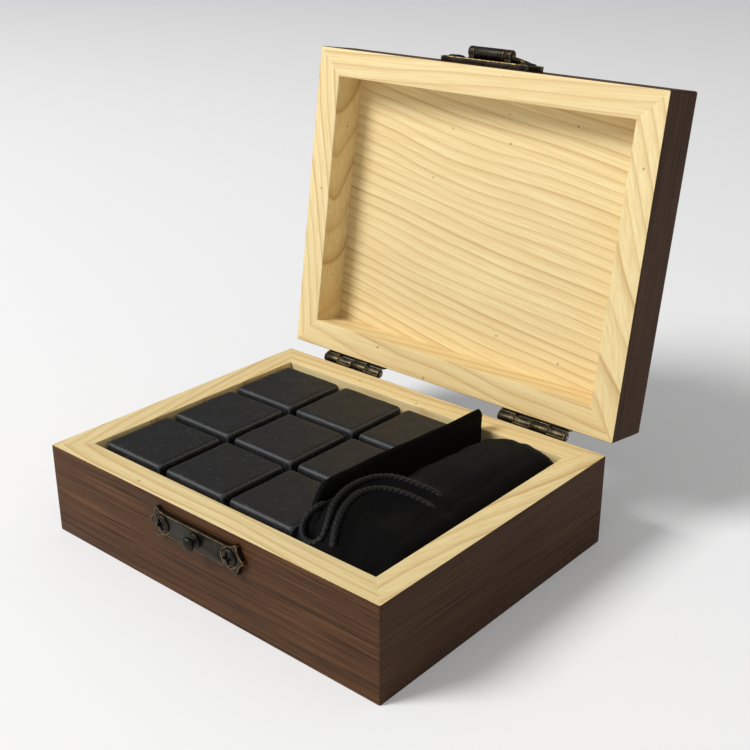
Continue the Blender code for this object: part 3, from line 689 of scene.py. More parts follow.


# Faces along X take the end copy of the stain, with its painted shade.
bottom = flat_board(0, FLOOR_TOP, BOTTOM_ROUND, BOTTOM_FOOT, 0.0, 0.5)
bottom = sawn_from(finish_by_side(bottom, 1), (2.2, 0.09, 0.02), 2, 1)
add_piece(
    "base_bottom_board_pine",
    bottom,
    [stained_side, raw_pine, stained_side, shaded_end_stain],
    AS_DRAWN,
    "base",
    "stained_pine",
    "base_bottom_board",
)
top = flat_board(lid_top_low.z, lid_top_high.z, TOP_ROUND, TOP_FOOT, 1.0, 0.0)
top = sawn_from(finish_by_side(top, -1), (2.6, 0.118, 0.062), -9, 1.5)
# The top's end faces take the end copy of the stain, with its painted shade.
top_finishes = [stained_top, raw_pine, stained_side, shaded_end_stain]
add_piece("lid_top_board_pine", top, top_finishes, OPENED, "lid", "stained_pine", "lid_top_board")
print("flat boards", len(bottom.polygons), len(top.polygons), "faces")

# %% [markdown]
# ## Basalt
# Basalt is a fine, even, dark grey rock. Honed stones have a soft shine, pin-prick pores and tiny pale
# crystals. Their rounded edges are painted lighter: partly chalky dust from the tumbling, partly a painted
# highlight where an edge catches the light. The crystals come from a cell pattern cut to small dots.

# %% Basalt
CRYSTAL = colour(88, 92, 98)
EDGE_DUST_AND_GLINT = colour(76, 78, 81)

basalt, tree, shader = new_finish("basalt")
place = step(tree, "ShaderNodeTexCoord").outputs["Object"]
mottle = soft_noise(tree, place, 420.0, 5.0)
rock = ramp(tree, mottle, ((0.3, colour(13, 14, 16)), (0.55, colour(18, 19, 21)), (0.75, colour(25, 26, 28))))
cells = step(tree, "ShaderNodeTexVoronoi", {"Vector": place, "Scale": 1500.0})
dots = ramp(tree, cells.outputs["Distance"], ((0.14, 1), (0.28, 0)))
chosen = step(tree, "ShaderNodeSeparateColor", {"Color": cells.outputs["Color"]}).outputs[0]
sparse = number(tree, "GREATER_THAN", chosen, 0.74)
crystals = number(tree, "MULTIPLY", dots, number(tree, "MULTIPLY", sparse, 0.75))
rock = blend_colours(tree, crystals, rock, CRYSTAL)
# Painted highlight with chalky dust: the rounded edges are mixed towards a lighter grey.
dust_and_glint = edge_wear_and_glint_mask(tree, place, (700, 700, 700), {"Amount": 0.46, "Raggedness": 0.6})
rock = blend_colours(tree, number(tree, "MULTIPLY", dust_and_glint, 0.7), rock, EDGE_DUST_AND_GLINT)
tree.links.new(rock, shader.inputs["Base Color"])
tree.links.new(number(tree, "MULTIPLY_ADD", mottle, 0.2, 0.5), shader.inputs["Roughness"])
shader.inputs["Specular IOR Level"].default_value = 0.4
add_relief(tree, shader, soft_noise(tree, place, 2600.0, 3.0), 0.3, 0.12 * MM)

# %% [markdown]
# ## The stones
# Each stone is sawn to a cube and tumbled until its edges are round, so no two are quite alike. A rounded
# cube is easy to make exactly: push every point of a fine grid out to a box, then out again by the round's
# radius. A little slow noise then bends the faces and edges by a tenth of a millimetre or so.

# %% Stones
STONE_ROUND = 1.5 * MM
STONE_GRID = 26
STONE_UNEVEN = 0.16 * MM


def tumbled_cube(half, seed):
    bm = bmesh.new()
    bmesh.ops.create_cube(bm, size=2)
    bmesh.ops.subdivide_edges(bm, edges=bm.edges, cuts=STONE_GRID, use_grid_fill=True)
    core = half - Vector((1, 1, 1)) * STONE_ROUND
    worn = bm.verts.layers.float.new(WORN)
    shift = Vector((seed * 7.3, seed * 3.1, seed * 5.7))
    for vertex in bm.verts:
        # Points crowd towards the edges, where the surface bends
        spread = Vector([math.sin(part * math.pi / 2) for part in vertex.co])
        on_box = Vector([part * size for part, size in zip(spread, half)])
        inside = Vector([max(-limit, min(limit, part)) for part, limit in zip(on_box, core)])
        out = (on_box - inside).normalized()
        vertex.co = inside + out * STONE_ROUND
        slow = noise.noise(vertex.co * 130 + shift) * STONE_UNEVEN
        vertex.co -= out * abs(slow) * 1.4
        # The worn value is 1 on the rounded edges, where the basalt paints its highlight and dust.
        vertex[worn] = 1 - max(0.0, (max(abs(part) for part in out) - 0.72) / 0.28) if out.length else 0
    mesh = bpy.data.meshes.new("stone")
    bm.to_mesh(mesh)
    bm.free()
    mesh.shade_smooth()
    return mesh


stone_nodes = sorted(name for name in frame["nodes"] if name.startswith("stone_"))
for seed, name in enumerate(stone_nodes):
    low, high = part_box(name)
    mesh = tumbled_cube((high - low) / 2, seed + 1)
    place = Matrix.Translation((low + high) / 2)
    add_piece(f"{name}_basalt", mesh, [basalt], place, name, "basalt", name)
print(len(stone_nodes), "stones of", round((high - low).x / MM, 1), "mm")

# %% [markdown]
# ## Antique bronze
# The latch is pressed sheet steel with a bronze coat that was blackened and rubbed: almost black on its
# faces, golden on every arris. Its edges are bevelled in the mesh, and the narrow bevel faces carry the wear
# value, so the gold stays on the arris however coarse the rest of the mesh is. The hinges have the same
# coat with more of it polished off.

# %% Antique bronze and hinge bronze


# The pale bare colour also stands on the rib's and barrel's outward faces, as a painted highlight.
def blackened(name, patina, bloom, bare, gold_amount, rough):
    material, tree, shader = new_finish(name)
    place = step(tree, "ShaderNodeTexCoord").outputs["Object"]
    cloud = soft_noise(tree, place, 520.0, 4.0)
    metal = blend_colours(tree, ramp(tree, cloud, ((0.42, 0), (0.68, 1))), patina, bloom)
    settings = {"Amount": gold_amount, "Raggedness": 0.95, "Sharpness": 3.4}
    rubbed = edge_wear_and_glint_mask(tree, place, (800, 800, 800), settings)
    metal = blend_colours(tree, rubbed, metal, bare)
    tree.links.new(metal, shader.inputs["Base Color"])
    shader.inputs["Metallic"].default_value = 0.92
    dull = number(tree, "MULTIPLY_ADD", cloud, 0.3, rough)
    tree.links.new(number(tree, "MULTIPLY_ADD", rubbed, -0.12, dull), shader.inputs["Roughness"])
    add_relief(tree, shader, soft_noise(tree, place, 1900.0, 3.0), 0.3, 0.08 * MM)
    return material


bronze = blackened("antique_bronze", colour(42, 39, 35), colour(60, 54, 43), colour(158, 128, 80), 0.19, 0.32)
hinge_bronze = blackened(
    "hinge_bronze", colour(54, 48, 37), colour(94, 84, 63), colour(184, 166, 126), 0.3, 0.26
)
print("two bronzes")

# %% [markdown]
# ## Tools for metalwork
# Plates, ribs and rolled ears overlap inside one mesh, as their real metal is one pressing. Each body is
# bevelled on its own before they are joined, which is far safer than bevelling the seam of a Boolean.

# %% Metal tools


def prism(outline, low, high):
    return stacked_rings("prism", [[(x, y, low) for x, y in outline], [(x, y, high) for x, y in outline]])


def block(low, high):
    outline = ((low[0], low[1]), (high[0], low[1]), (high[0], high[1]), (low[0], high[1]))
    return prism(outline, low[2], high[2])


def tube_along_x(radius, bore, length, sides=32):
    """A tube along X with a hole through it."""
    walls = ((radius, -length / 2), (radius, length / 2), (bore, length / 2), (bore, -length / 2))
    rings = []
    angles = np.arange(sides) * math.tau / sides
    for size, x in (*walls, walls[0]):
        rings.append([(x, size * math.cos(a), size * math.sin(a)) for a in angles])
    return outward(stacked_rings("tube", rings, capped=False))


def rubbed_bevel(mesh, width, parts=2, sharp_deg=34):
    """Bevels the sharp edges. The bevel's faces carry the wear value."""
    bm = bmesh.new()
    bm.from_mesh(mesh)
    for layer in bm.verts.layers.float.values():
        bm.verts.layers.float.remove(layer)
    bmesh.ops.remove_doubles(bm, verts=bm.verts, dist=1e-6)
    bmesh.ops.dissolve_limit(bm, angle_limit=math.radians(0.5), verts=bm.verts, edges=bm.edges)
    bmesh.ops.recalc_face_normals(bm, faces=bm.faces)
    limit = math.radians(sharp_deg)
    sharp = [edge for edge in bm.edges if len(edge.link_faces) == 2 and edge.calc_face_angle(0) > limit]
    worn = bm.faces.layers.float.new(WORN)
    made = bmesh.ops.bevel(
        bm, geom=sharp, offset=width, segments=parts, profile=0.5, affect="EDGES", clamp_overlap=True
    )
    for face in made["faces"]:
        face[worn] = 1.0
    result = bpy.data.meshes.new(mesh.name)
    bm.to_mesh(result)
    bm.free()
    return smooth(result, 40)


# How much pale bare colour the outward faces of rib and barrel get: part wear, part painted highlight.
RIB_WEAR_AND_HIGHLIGHT = 0.93
BARREL_WEAR_AND_HIGHLIGHT = 0.86
SCREW_GOLD = 0.8


def wear_and_highlight_front(mesh, wear):
    """Gives the faces that look straight out the pale bare colour too: part wear, where fingers slide over
    them, part painted highlight, where they face the light.
    """
    values = mesh.attributes[WORN].data
    for face in mesh.polygons:
        if face.normal.z > 0.8:
            values[face.index].value = max(values[face.index].value, wear)
    return mesh


def dulled(mesh, share):
    """Keeps only a share of the wear."""
    for value in mesh.attributes[WORN].data:
        value.value *= share
    return mesh


def joined(*meshes):
    bm = bmesh.new()
    bm.faces.layers.float.new(WORN)
    for mesh in meshes:
        bm.from_mesh(mesh)
    result = bpy.data.meshes.new("joined")
    bm.to_mesh(result)
    bm.free()
    return result


def arc_to(start, control, end, steps):
    """Points on a curve from start to end that leans towards control, without its start."""
    shares = [part / steps for part in range(1, steps + 1)]
    return [
        tuple((1 - t) ** 2 * a + 2 * t * (1 - t) * b + t * t * c for a, b, c in zip(start, control, end))
        for t in shares
    ]


def scaled(points):
    return [(x * MM, y * MM) for x, y in points]


def on_front(x, z):
    """A place on the front where X stays, Y goes up and Z comes out towards the user."""
    return Matrix.Translation((x, -HALF_DEPTH, z)) @ Matrix.Rotation(math.pi / 2, 4, "X")


def on_back(x, z):
    return (
        Matrix.Translation((x, HALF_DEPTH, z))
        @ Matrix.Rotation(math.pi, 4, "Z")
        @ Matrix.Rotation(math.pi / 2, 4, "X")
    )


# %% [markdown]
# ## Screws
# Domed Phillips heads. The cross is a prism with tapering arms, cut from the head. The arrises are rubbed a
# little less than the plates'. Each screw stops at its own angle, as it does when a person drives it.

# %% Screws
SCREW_SEED = 7
RECESS_DEPTH = 0.8 * MM
SCREW_BEVEL = 0.05 * MM
screw_angles = random.Random(SCREW_SEED)


def screw_head(radius, rise, front, arm, slot):
    """A head whose rim stands on the plate's front and whose dome rises by rise."""
    profile = [
        (0.45 * radius, -1.5 * MM),
        (0.5 * radius, 0.0),
        (0.97 * radius, 0.72 * front),
        (radius, 0.8 * front),
        (radius, front + 0.15 * rise),
        (0.95 * radius, front + 0.42 * rise),
        (0.78 * radius, front + 0.74 * rise),
        (0.52 * radius, front + 0.93 * rise),
        (0.2 * radius, front + rise),
    ]
    body = turned("screw", profile, 36)
    cross = []
    for quarter in range(4):
        turn = Matrix.Rotation(quarter * math.pi / 2, 2)
        for corner in ((arm, -0.36 * slot), (arm, 0.36 * slot), (0.56 * slot, 0.56 * slot)):
            cross.append(tuple(turn @ Vector(corner)))
    recess = prism(cross, front + rise - RECESS_DEPTH, front + 2 * rise)
    return dulled(rubbed_bevel(carve(body, recess), SCREW_BEVEL, 1, 38), SCREW_GOLD)


latch_screw = screw_head(radius=2.1 * MM, rise=0.5 * MM, front=1.42 * MM, arm=1.4 * MM, slot=0.86 * MM)
hinge_screw = screw_head(radius=1.5 * MM, rise=0.3 * MM, front=1.05 * MM, arm=0.95 * MM, slot=0.55 * MM)


def fit_screw(node, mesh, place, opened, body, slot, finish):
    turn = Matrix.Rotation(screw_angles.uniform(0, math.pi / 2), 4, "Z")
    add_piece(f"{node}_metal", mesh.copy(), [finish], opened @ place @ turn, body, slot, node)


print("screw heads", len(latch_screw.polygons), len(hinge_screw.polygons), "faces")

# %% [markdown]
# ## Latch plates
# Both plates have one outline: a bar whose ends flare into two corners with a point between them. A
# pocket is pressed round each screw. The lid's plate also has a raised rib along its top, a window, and two
# rolled ears that hold the tongue's pin.

# %% Latch plates
PLATE_FRONT = 1.4 * MM
SCREW_AT = 10.7 * MM
PIN_OUT = 3.1 * MM
BARREL_RADIUS = 1.35 * MM
BARREL_BORE = 0.62 * MM
PLATE_BEVEL = 0.2 * MM
SHEET_BEVEL = 0.14 * MM
POCKET = ((2.42 * MM, 0.95 * MM), (2.5 * MM, 3 * MM))  # radius and height, at its floor and at its mouth
RIB_FRONT = 2.35 * MM
EAR_AT = 5.4 * MM
keeper_low, keeper_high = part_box("latch_keeper_plate")
LATCH_X = (keeper_low.x + keeper_high.x) / 2
KEEPER_Z = (keeper_low.z + keeper_high.z) / 2
lid_plate_low, lid_plate_high = shut_box("latch_lid_plate")
LID_PLATE_Z = (lid_plate_low.z + lid_plate_high.z) / 2
PIN_Z = (OPENED.inverted() @ Vector(joints["hasp_hinge"]["pos_m"])).z
PIN_UP = PIN_Z - LID_PLATE_Z


def plate_outline():
    quarter = [(0, 2.62), (8.2, 2.62)]
    quarter += arc_to((8.2, 2.62), (11.3, 2.5), (12.35, 3.62), 7)
    quarter += arc_to((12.35, 3.62), (12.75, 3.85), (13.05, 3.42), 3)
    quarter += arc_to((13.05, 3.42), (13.25, 1.15), (14.85, 0.35), 7)
    right = quarter + [(x, -y) for x, y in reversed(quarter)]
    return scaled(right[1:-1] + [(-x, -y) for x, y in right[1:-1]])


def pressed_plate(window=None):
    plate = prism(plate_outline(), 0, PLATE_FRONT)
    for side in (-1, 1):
        pocket = turned("pocket", POCKET, 40)
        plate = carve(plate, moved(pocket, Matrix.Translation((side * SCREW_AT, 0, 0))))
    if window:
        plate = carve(plate, block(*window))
    return plate


keeper = rubbed_bevel(pressed_plate(), PLATE_BEVEL)
add_piece(
    "keeper_plate_bronze",
    keeper,
    [bronze],
    on_front(LATCH_X, KEEPER_Z),
    "base",
    "antique_bronze",
    "latch_keeper_plate",
)
window = ((-4.5 * MM, PIN_UP - 1.0 * MM, -MM), (4.5 * MM, PIN_UP + 1.9 * MM, 2 * MM))
bodies = [rubbed_bevel(pressed_plate(window), PLATE_BEVEL)]
rib_outline = scaled([(-7.9, 1.62), (7.9, 1.62), (8.5, 2.1), (7.9, 2.62), (-7.9, 2.62), (-8.5, 2.1)])
# The rib's outward faces get a painted highlight in the pale bare colour.
bodies.append(wear_and_highlight_front(rubbed_bevel(prism(rib_outline, 0.4 * MM, RIB_FRONT), 0.4 * MM, 3), RIB_WEAR_AND_HIGHLIGHT))
for side in (-1, 1):
    ear = tube_along_x(BARREL_RADIUS, BARREL_BORE, 1.8 * MM)
    ear = moved(ear, Matrix.Translation((side * EAR_AT, PIN_UP, PIN_OUT)))
    bodies.append(rubbed_bevel(ear, SHEET_BEVEL))
    low_x, high_x = sorted((side * 4.6 * MM, side * 6.2 * MM))
    arm = block((low_x, PIN_UP - 1.05 * MM, 0.4 * MM), (high_x, PIN_UP + 1.05 * MM, PIN_OUT - 0.3 * MM))
    bodies.append(rubbed_bevel(arm, 0.12 * MM))
add_piece(
    "lid_plate_bronze",
    joined(*bodies),
    [bronze],
    OPENED @ on_front(LATCH_X, LID_PLATE_Z),
    "lid",
    "antique_bronze",
    "latch_lid_plate",
)
for prefix, z, opened, body in (("keeper_screw", KEEPER_Z, AS_DRAWN, "base"),
                                ("lid_plate_screw", LID_PLATE_Z, OPENED, "lid")):
    for side_name, side in (("left", -1), ("right", 1)):
        place = on_front(LATCH_X + side * SCREW_AT, z)
        fit_screw(f"{prefix}_{side_name}", latch_screw, place, opened, body, "antique_bronze", bronze)
print("latch plates", [round(part / MM, 2) for part in (LATCH_X, KEEPER_Z, LID_PLATE_Z)])

# %% [markdown]
# ## Tongue, pin and knob
# The tongue is a sheet shield rolled into a barrel round the pin, with a round hole that drops over the
# knob. The knob is turned: a collar, a narrow neck and a domed head that the hole's edge snaps behind.

# %% Tongue, pin and knob
SHEET_BACK = -1.2 * MM
SHEET_FRONT = -0.4 * MM
HOLE_RADIUS = 2.45 * MM
TONGUE_WIDTH = 8.4 * MM


def tongue_outline():
    side = [(4.1, 0.3), (4.1, -1.75)]
    side += arc_to((4.1, -1.75), (3.95, -2.55), (2.35, -2.6), 4)
    side += arc_to((2.35, -2.6), (2.05, -2.75), (2.1, -4.3), 4)
    side += arc_to((2.1, -4.3), (2.2, -4.75), (3.7, -5.2), 5)
    side += arc_to((3.7, -5.2), (5.9, -7.6), (6.2, -10.3), 8)
    side += arc_to((6.2, -10.3), (5.9, -13.3), (0, -13.7), 12)
    return scaled([*side, *[(-x, y) for x, y in reversed(side[:-1])]])


sheet_metal = prism(tongue_outline(), SHEET_BACK, SHEET_FRONT)
knob_drop = PIN_Z - KEEPER_Z
hole = turned("hole", [(HOLE_RADIUS, -3 * MM), (HOLE_RADIUS, 3 * MM)], 48)
sheet_metal = carve(sheet_metal, moved(hole, Matrix.Translation((0, -knob_drop, 0))))
barrel = tube_along_x(BARREL_RADIUS, BARREL_BORE, TONGUE_WIDTH)
# The barrel's outward faces get a painted highlight in the pale bare colour.
barrel = wear_and_highlight_front(rubbed_bevel(barrel, SHEET_BEVEL), BARREL_WEAR_AND_HIGHLIGHT)
add_piece(
    "tongue_bronze",
    joined(rubbed_bevel(sheet_metal, SHEET_BEVEL), barrel),
    [bronze],
    FLIPPED @ on_front(LATCH_X, PIN_Z) @ Matrix.Translation((0, 0, PIN_OUT)),
    "hasp",
    "antique_bronze",
    "latch_tongue",
)
pin_profile = [(0.3 * MM, -6.6 * MM), (0.5 * MM, -6.4 * MM), (0.5 * MM, 6.4 * MM), (0.3 * MM, 6.6 * MM)]
pin = moved(turned("pin", pin_profile, 24, (1, 1, 1, 1)), Matrix.Rotation(math.pi / 2, 4, "Y"))
add_piece(
    "latch_pin_bronze",
    smooth(outward(pin)),
    [bronze],
    OPENED @ on_front(LATCH_X, PIN_Z) @ Matrix.Translation((0, 0, PIN_OUT)),
    "lid",
    "antique_bronze",
    "latch_pin",
)
# Radius and height in millimetres, then how far the coat is rubbed there
KNOB_PROFILE = (
    (1.0, 0.2, 0), (1.0, 1.4, 0), (1.85, 1.45, 0), (1.9, 1.6, 0.2), (1.9, 1.85, 0.7), (1.75, 2.05, 0.6),
    (1.15, 2.12, 0.1), (1.0, 2.3, 0), (1.0, 2.65, 0), (1.2, 2.85, 0.1), (1.6, 2.98, 0.5), (1.7, 3.15, 0.7),
    (1.7, 3.45, 0.6), (1.56, 3.8, 0.5), (1.26, 4.08, 0.6), (0.8, 4.24, 0.6), (0.3, 4.3, 0.5),
)
knob_wear = [wear for _, _, wear in KNOB_PROFILE]
knob = turned("knob", [(radius * MM, height * MM) for radius, height, _ in KNOB_PROFILE], 40, knob_wear)
add_piece(
    "knob_bronze",
    smooth(outward(knob), 50),
    [bronze],
    on_front(LATCH_X, KEEPER_Z),
    "base",
    "antique_bronze",
    "latch_knob",
)
print("knob below the pin by", round(knob_drop / MM, 2), "mm")

# %% [markdown]
# ## Hinges
# Each butt hinge is two leaves of sheet rolled alternately round one pin, four knuckles in all. The lid has
# the first and third knuckle from the left, the base the second and fourth.

# %% Hinges
HINGE_HALF = 10.0 * MM
AXIS_OUT = Vector(joints["lid_hinge"]["pos_m"]).y - HALF_DEPTH
AXIS_Z = joints["lid_hinge"]["pos_m"][2]
KNUCKLE_RADIUS = 1.25 * MM
KNUCKLE_GAP = 0.15 * MM
KNUCKLE_BORE = 0.5 * MM
HINGE_SCREW_SIDE = 6.0 * MM
HINGE_SCREW_UP = 4.9 * MM


def hinge_leaf(up, first_knuckle):
    """A leaf lying on the wood, seen from outside with the axis on v = 0."""
    near, far, corner = 0.85, 8.0, 1.3
    half = HINGE_HALF / MM
    outline = [(-half, near), (half, near)]
    outline += [(half, far - corner), *arc_to((half, far - corner), (half, far), (half - corner, far), 5)]
    outline += [(corner - half, far), *arc_to((corner - half, far), (-half, far), (-half, far - corner), 5)]
    leaf = prism(scaled([(x, up * y) for x, y in outline]), 0.05 * MM, 0.98 * MM)
    bodies = [rubbed_bevel(outward(leaf), 0.12 * MM)]
    pitch = 2 * HINGE_HALF / 4
    for knuckle in range(first_knuckle, 4, 2):
        centre = HINGE_HALF - (knuckle + 0.5) * pitch
        length = pitch - 2 * KNUCKLE_GAP
        roll = tube_along_x(KNUCKLE_RADIUS, KNUCKLE_BORE, length)
        roll = moved(roll, Matrix.Translation((centre, 0, AXIS_OUT)))
        bodies.append(rubbed_bevel(roll, 0.1 * MM))
        tab_low, tab_high = sorted((up * -0.1 * MM, up * 1.6 * MM))
        tab = block((centre - length / 2, tab_low, 0.4 * MM), (centre + length / 2, tab_high, 1.3 * MM))
        bodies.append(rubbed_bevel(tab, 0.08 * MM))
    return joined(*bodies)


for prefix in ("left", "right"):
    pin_low, pin_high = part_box(f"{prefix}_hinge_pin")
    middle = (pin_low.x + pin_high.x) / 2
    place = on_back(middle, AXIS_Z)
    for leaf, up, first, opened, body in (("base", -1, 1, AS_DRAWN, "base"), ("lid", 1, 0, OPENED, "lid")):
        name = f"{prefix}_hinge_{leaf}_leaf"
        leaf_mesh = hinge_leaf(up, first)
        add_piece(f"{name}_metal", leaf_mesh, [hinge_bronze], opened @ place, body, "hinge_bronze", name)
        for screw_number, side in enumerate((-1, 1), 1):
            screw_place = on_back(middle + side * HINGE_SCREW_SIDE, AXIS_Z + up * HINGE_SCREW_UP)
            screw_name = f"{prefix}_hinge_{leaf}_screw_{screw_number}"
            fit_screw(screw_name, hinge_screw, screw_place, opened, body, "hinge_bronze", hinge_bronze)
    ends = [(0.25, -10.3), (0.45, -10.15), (0.45, 10.15), (0.25, 10.3)]
    pin = turned("pin", [(radius * MM, x * MM) for radius, x in ends], 24, (1, 1, 1, 1))
    pin = smooth(outward(moved(pin, Matrix.Rotation(math.pi / 2, 4, "Y"))))
    pin_place = place @ Matrix.Translation((0, 0, AXIS_OUT))
    name = f"{prefix}_hinge_pin"
    add_piece(f"{name}_metal", pin, [hinge_bronze], pin_place, "base", "hinge_bronze", name)
print("hinge axis", round(AXIS_OUT / MM, 2), "mm behind the wood")

# %% [markdown]
# ## Drawstring routes
# The pouch's drawstring comes out of its hem, makes two loops over the gathered mouth and tucks into the
# folds again. Both loops are free cords, so each is drawn along the frame's own route. The curve through
# the route's points is smoothed, then cut into equal short steps, so that the braid keeps one pitch.

# %% Drawstring routes
CORD_RADIUS = 0.8 * MM
OUTER_ROUTE = (
    (22.9, -25.4, 27.7), (22.0, -28.4, 26.8), (21.9, -30.7, 24.6), (23.7, -32.2, 22.9), (26.3, -32.3, 22.8),
    (27.9, -31.1, 24.4), (27.2, -28.7, 26.5), (25.7, -25.5, 28.3), (24.6, -21.6, 29.2), (24.2, -17.2, 29.5),
    (24.9, -12.6, 29.4), (27.0, -8.9, 29.0), (29.9, -7.1, 28.5), (33.0, -5.9, 27.7), (35.9, -4.6, 26.8),
    (38.3, -4.4, 25.6),
)
INNER_ROUTE = (
    (31.6, -32.3, 22.6), (31.0, -31.2, 24.6), (29.6, -28.7, 26.6), (28.1, -25.1, 28.1), (27.2, -21.2, 28.9),
    (27.3, -17.6, 29.1), (28.8, -14.2, 28.9), (31.5, -11.9, 28.3), (34.4, -10.3, 27.4), (37.2, -9.1, 26.3),
    (39.2, -8.6, 25.3),
)
BRAID_STEP = 0.13 * MM


def tucked_in(route):
    """The route with one point more at each end, under the velvet."""
    points = [Vector(point) for point in route]
    for end, before, place in ((0, 1, 0), (-1, -2, len(points) + 1)):
        onward = (points[end] - points[before]).normalized() * 1.4
        points.insert(place, points[end] + onward + Vector((0, 0, -1.9)))
    return [point * MM for point in points]


def even_steps(points, gap):
    """A smooth curve through the points, cut into equal steps."""
    ends = [2 * points[0] - points[1], *points, 2 * points[-1] - points[-2]]
    fine = []
    for a, b, c, d in zip(ends, ends[1:], ends[2:], ends[3:]):
        for t in np.arange(20) / 20:
            fine.append(0.5 * (2 * b + (c - a) * t + (2 * a - 5 * b + 4 * c - d) * t**2
                               + (3 * b - a - 3 * c + d) * t**3))
    fine = np.array([*fine, points[-1]])
    so_far = np.concatenate(([0], np.cumsum(np.linalg.norm(np.diff(fine, axis=0), axis=1))))
    marks = np.linspace(0, so_far[-1], max(2, round(so_far[-1] / gap)))
    return np.stack([np.interp(marks, so_far, fine[:, axis]) for axis in range(3)], axis=1), so_far[-1]


cord_lines = {}
for name, route in (("drawstring_outer", OUTER_ROUTE), ("drawstring_inner", INNER_ROUTE)):
    cord_lines[name] = even_steps(tucked_in(route), BRAID_STEP)
    print(name, round(cord_lines[name][1] / MM, 1), "mm long")
lying = [even_steps([Vector(p) * MM for p in route], MM)[0][2:-3] for route in (OUTER_ROUTE, INNER_ROUTE)]
lying = np.concatenate(lying)

# %% [markdown]
# ## Velvet
# Velvet is a pile of short upright fibres. It is almost black seen straight on, and its fibres catch light
# only where the surface turns away, which is what the sheen layer does. The pile leans in patches where it
# was pressed, so its roughness and bump wander.

# %% Velvet
velvet, tree, shader = new_finish("velvet")
place = step(tree, "ShaderNodeTexCoord").outputs["Object"]
pressed = soft_noise(tree, place, 170.0, 3.0)
pile = soft_noise(tree, place, 5200.0, 2.0)
cloth = ramp(tree, pressed, ((0.35, colour(5, 5, 6)), (0.7, colour(10, 9, 10))))
cloth = blend_colours(tree, number(tree, "MULTIPLY", pile, 0.5), cloth, colour(3, 3, 3))
tree.links.new(cloth, shader.inputs["Base Color"])
tree.links.new(number(tree, "MULTIPLY_ADD", pressed, 0.2, 0.78), shader.inputs["Roughness"])
shader.inputs["Specular IOR Level"].default_value = 0.12
shader.inputs["Sheen Weight"].default_value = 0.035
shader.inputs["Sheen Roughness"].default_value = 0.35
add_relief(tree, shader, pile, 0.6, 0.25 * MM)

# %% [markdown]
# ## The folded pouch
# The pouch is empty and folded lengthways to fit beside the stones: one fold stands up against them as a
# flap, the rest lies on the floor, climbs the right wall and rolls over the top. Seen from the front its
# section is one long strip, so the mesh is that strip, swept from front to back, with a front and a back
# face a cloth's thickness apart. The mouth is gathered under the cords: near a cord the velvet rises to
# carry it. Slow noise adds the creases. A simulation would have to fold a bag into a slot one pouch wide,
# so the vertices are given directly instead.

# %% Pouch
CLOTH_HALF = 0.66 * MM
flap_low, flap_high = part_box("pouch_flap")
body_low, body_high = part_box("pouch_body")
FLAP_X = (flap_low.x + flap_high.x) / 2
RIGHT_X = body_high.x - CLOTH_HALF
FLOOR_Z = body_low.z + CLOTH_HALF
POUCH_FRONT, POUCH_BACK = body_low.y, body_high.y
FLAP_FRONT_TOP, FLAP_BACK_TOP = flap_high.z, flap_high.z - 2.6 * MM
STATIONS = 110


def ease(value, low, high):
    share = min(1.0, max(0.0, (value - low) / (high - low)))
    return share * share * (3 - 2 * share)


def crease(x, y, across, along, seed):
    return noise.noise(Vector((x * across, y * along, seed)))


def roll_left(y):
    """Where the roll's left edge is: beside the flap, and out to the stones in front of it."""
    beside = 23.2 - 2.0 * (1 - ease(y, -28 * MM, -21 * MM)) + 3.0 * ease(y, -8 * MM, 30 * MM)
    return beside * MM + 0.5 * MM * crease(0, y, 1, 140, 4.1)


def roll_top(x, y):
    left = roll_left(y)
    across = max(0.0, min(1.0, (x - left) / (RIGHT_X - left)))
    round_over = math.sqrt(max(0.0, 1 - (2 * across - 1) ** 2))
    top = RIM + (-1.6 + 4.2 * round_over) * MM
    top -= 5.6 * MM * (1 - ease(y, POUCH_FRONT - 1.5 * MM, -21 * MM)) ** 1.2
    over = max(0.0, (y - POUCH_BACK + 6.5 * MM) / (6.6 * MM))
    top -= 7.5 * MM * (1 - math.sqrt(max(0.0, 1 - over * over)))
    top += 0.8 * MM * crease(x, y, 110, 45, 1.7) + 0.5 * MM * crease(x + 0.4 * y, y, 360, 90, 6.3)
    gaps = np.hypot(lying[:, 0] - x, lying[:, 1] - y)
    nearest = int(np.argmin(gaps))
    carried = lying[nearest, 2] - 0.72 * MM
    share = math.exp(-((gaps[nearest] / (3.4 * MM)) ** 2))
    return top + (carried - top) * share if carried > top else top


def flap_top(y):
    level = FLAP_FRONT_TOP + (FLAP_BACK_TOP - FLAP_FRONT_TOP) * ease(y, flap_low.y, POUCH_BACK)
    level += 0.25 * MM * crease(0, y, 1, 110, 9.2)
    start = flap_low.y - 0.5 * MM
    level -= 9.0 * MM * (1 - ease(y, start - 3.2 * MM, start + 3.6 * MM)) ** 1.3
    near_back = max(0.0, (y - POUCH_BACK + 1.6 * MM) / (1.6 * MM))
    return level - 1.3 * MM * (1 - math.sqrt(max(0.0, 1 - near_back**2)))


def corner_points(centre, radius, start_deg, end_deg, count):
    angles = np.radians(np.linspace(start_deg, end_deg, count))
    return [(centre[0] + radius * math.cos(a), centre[1] + radius * math.sin(a)) for a in angles]


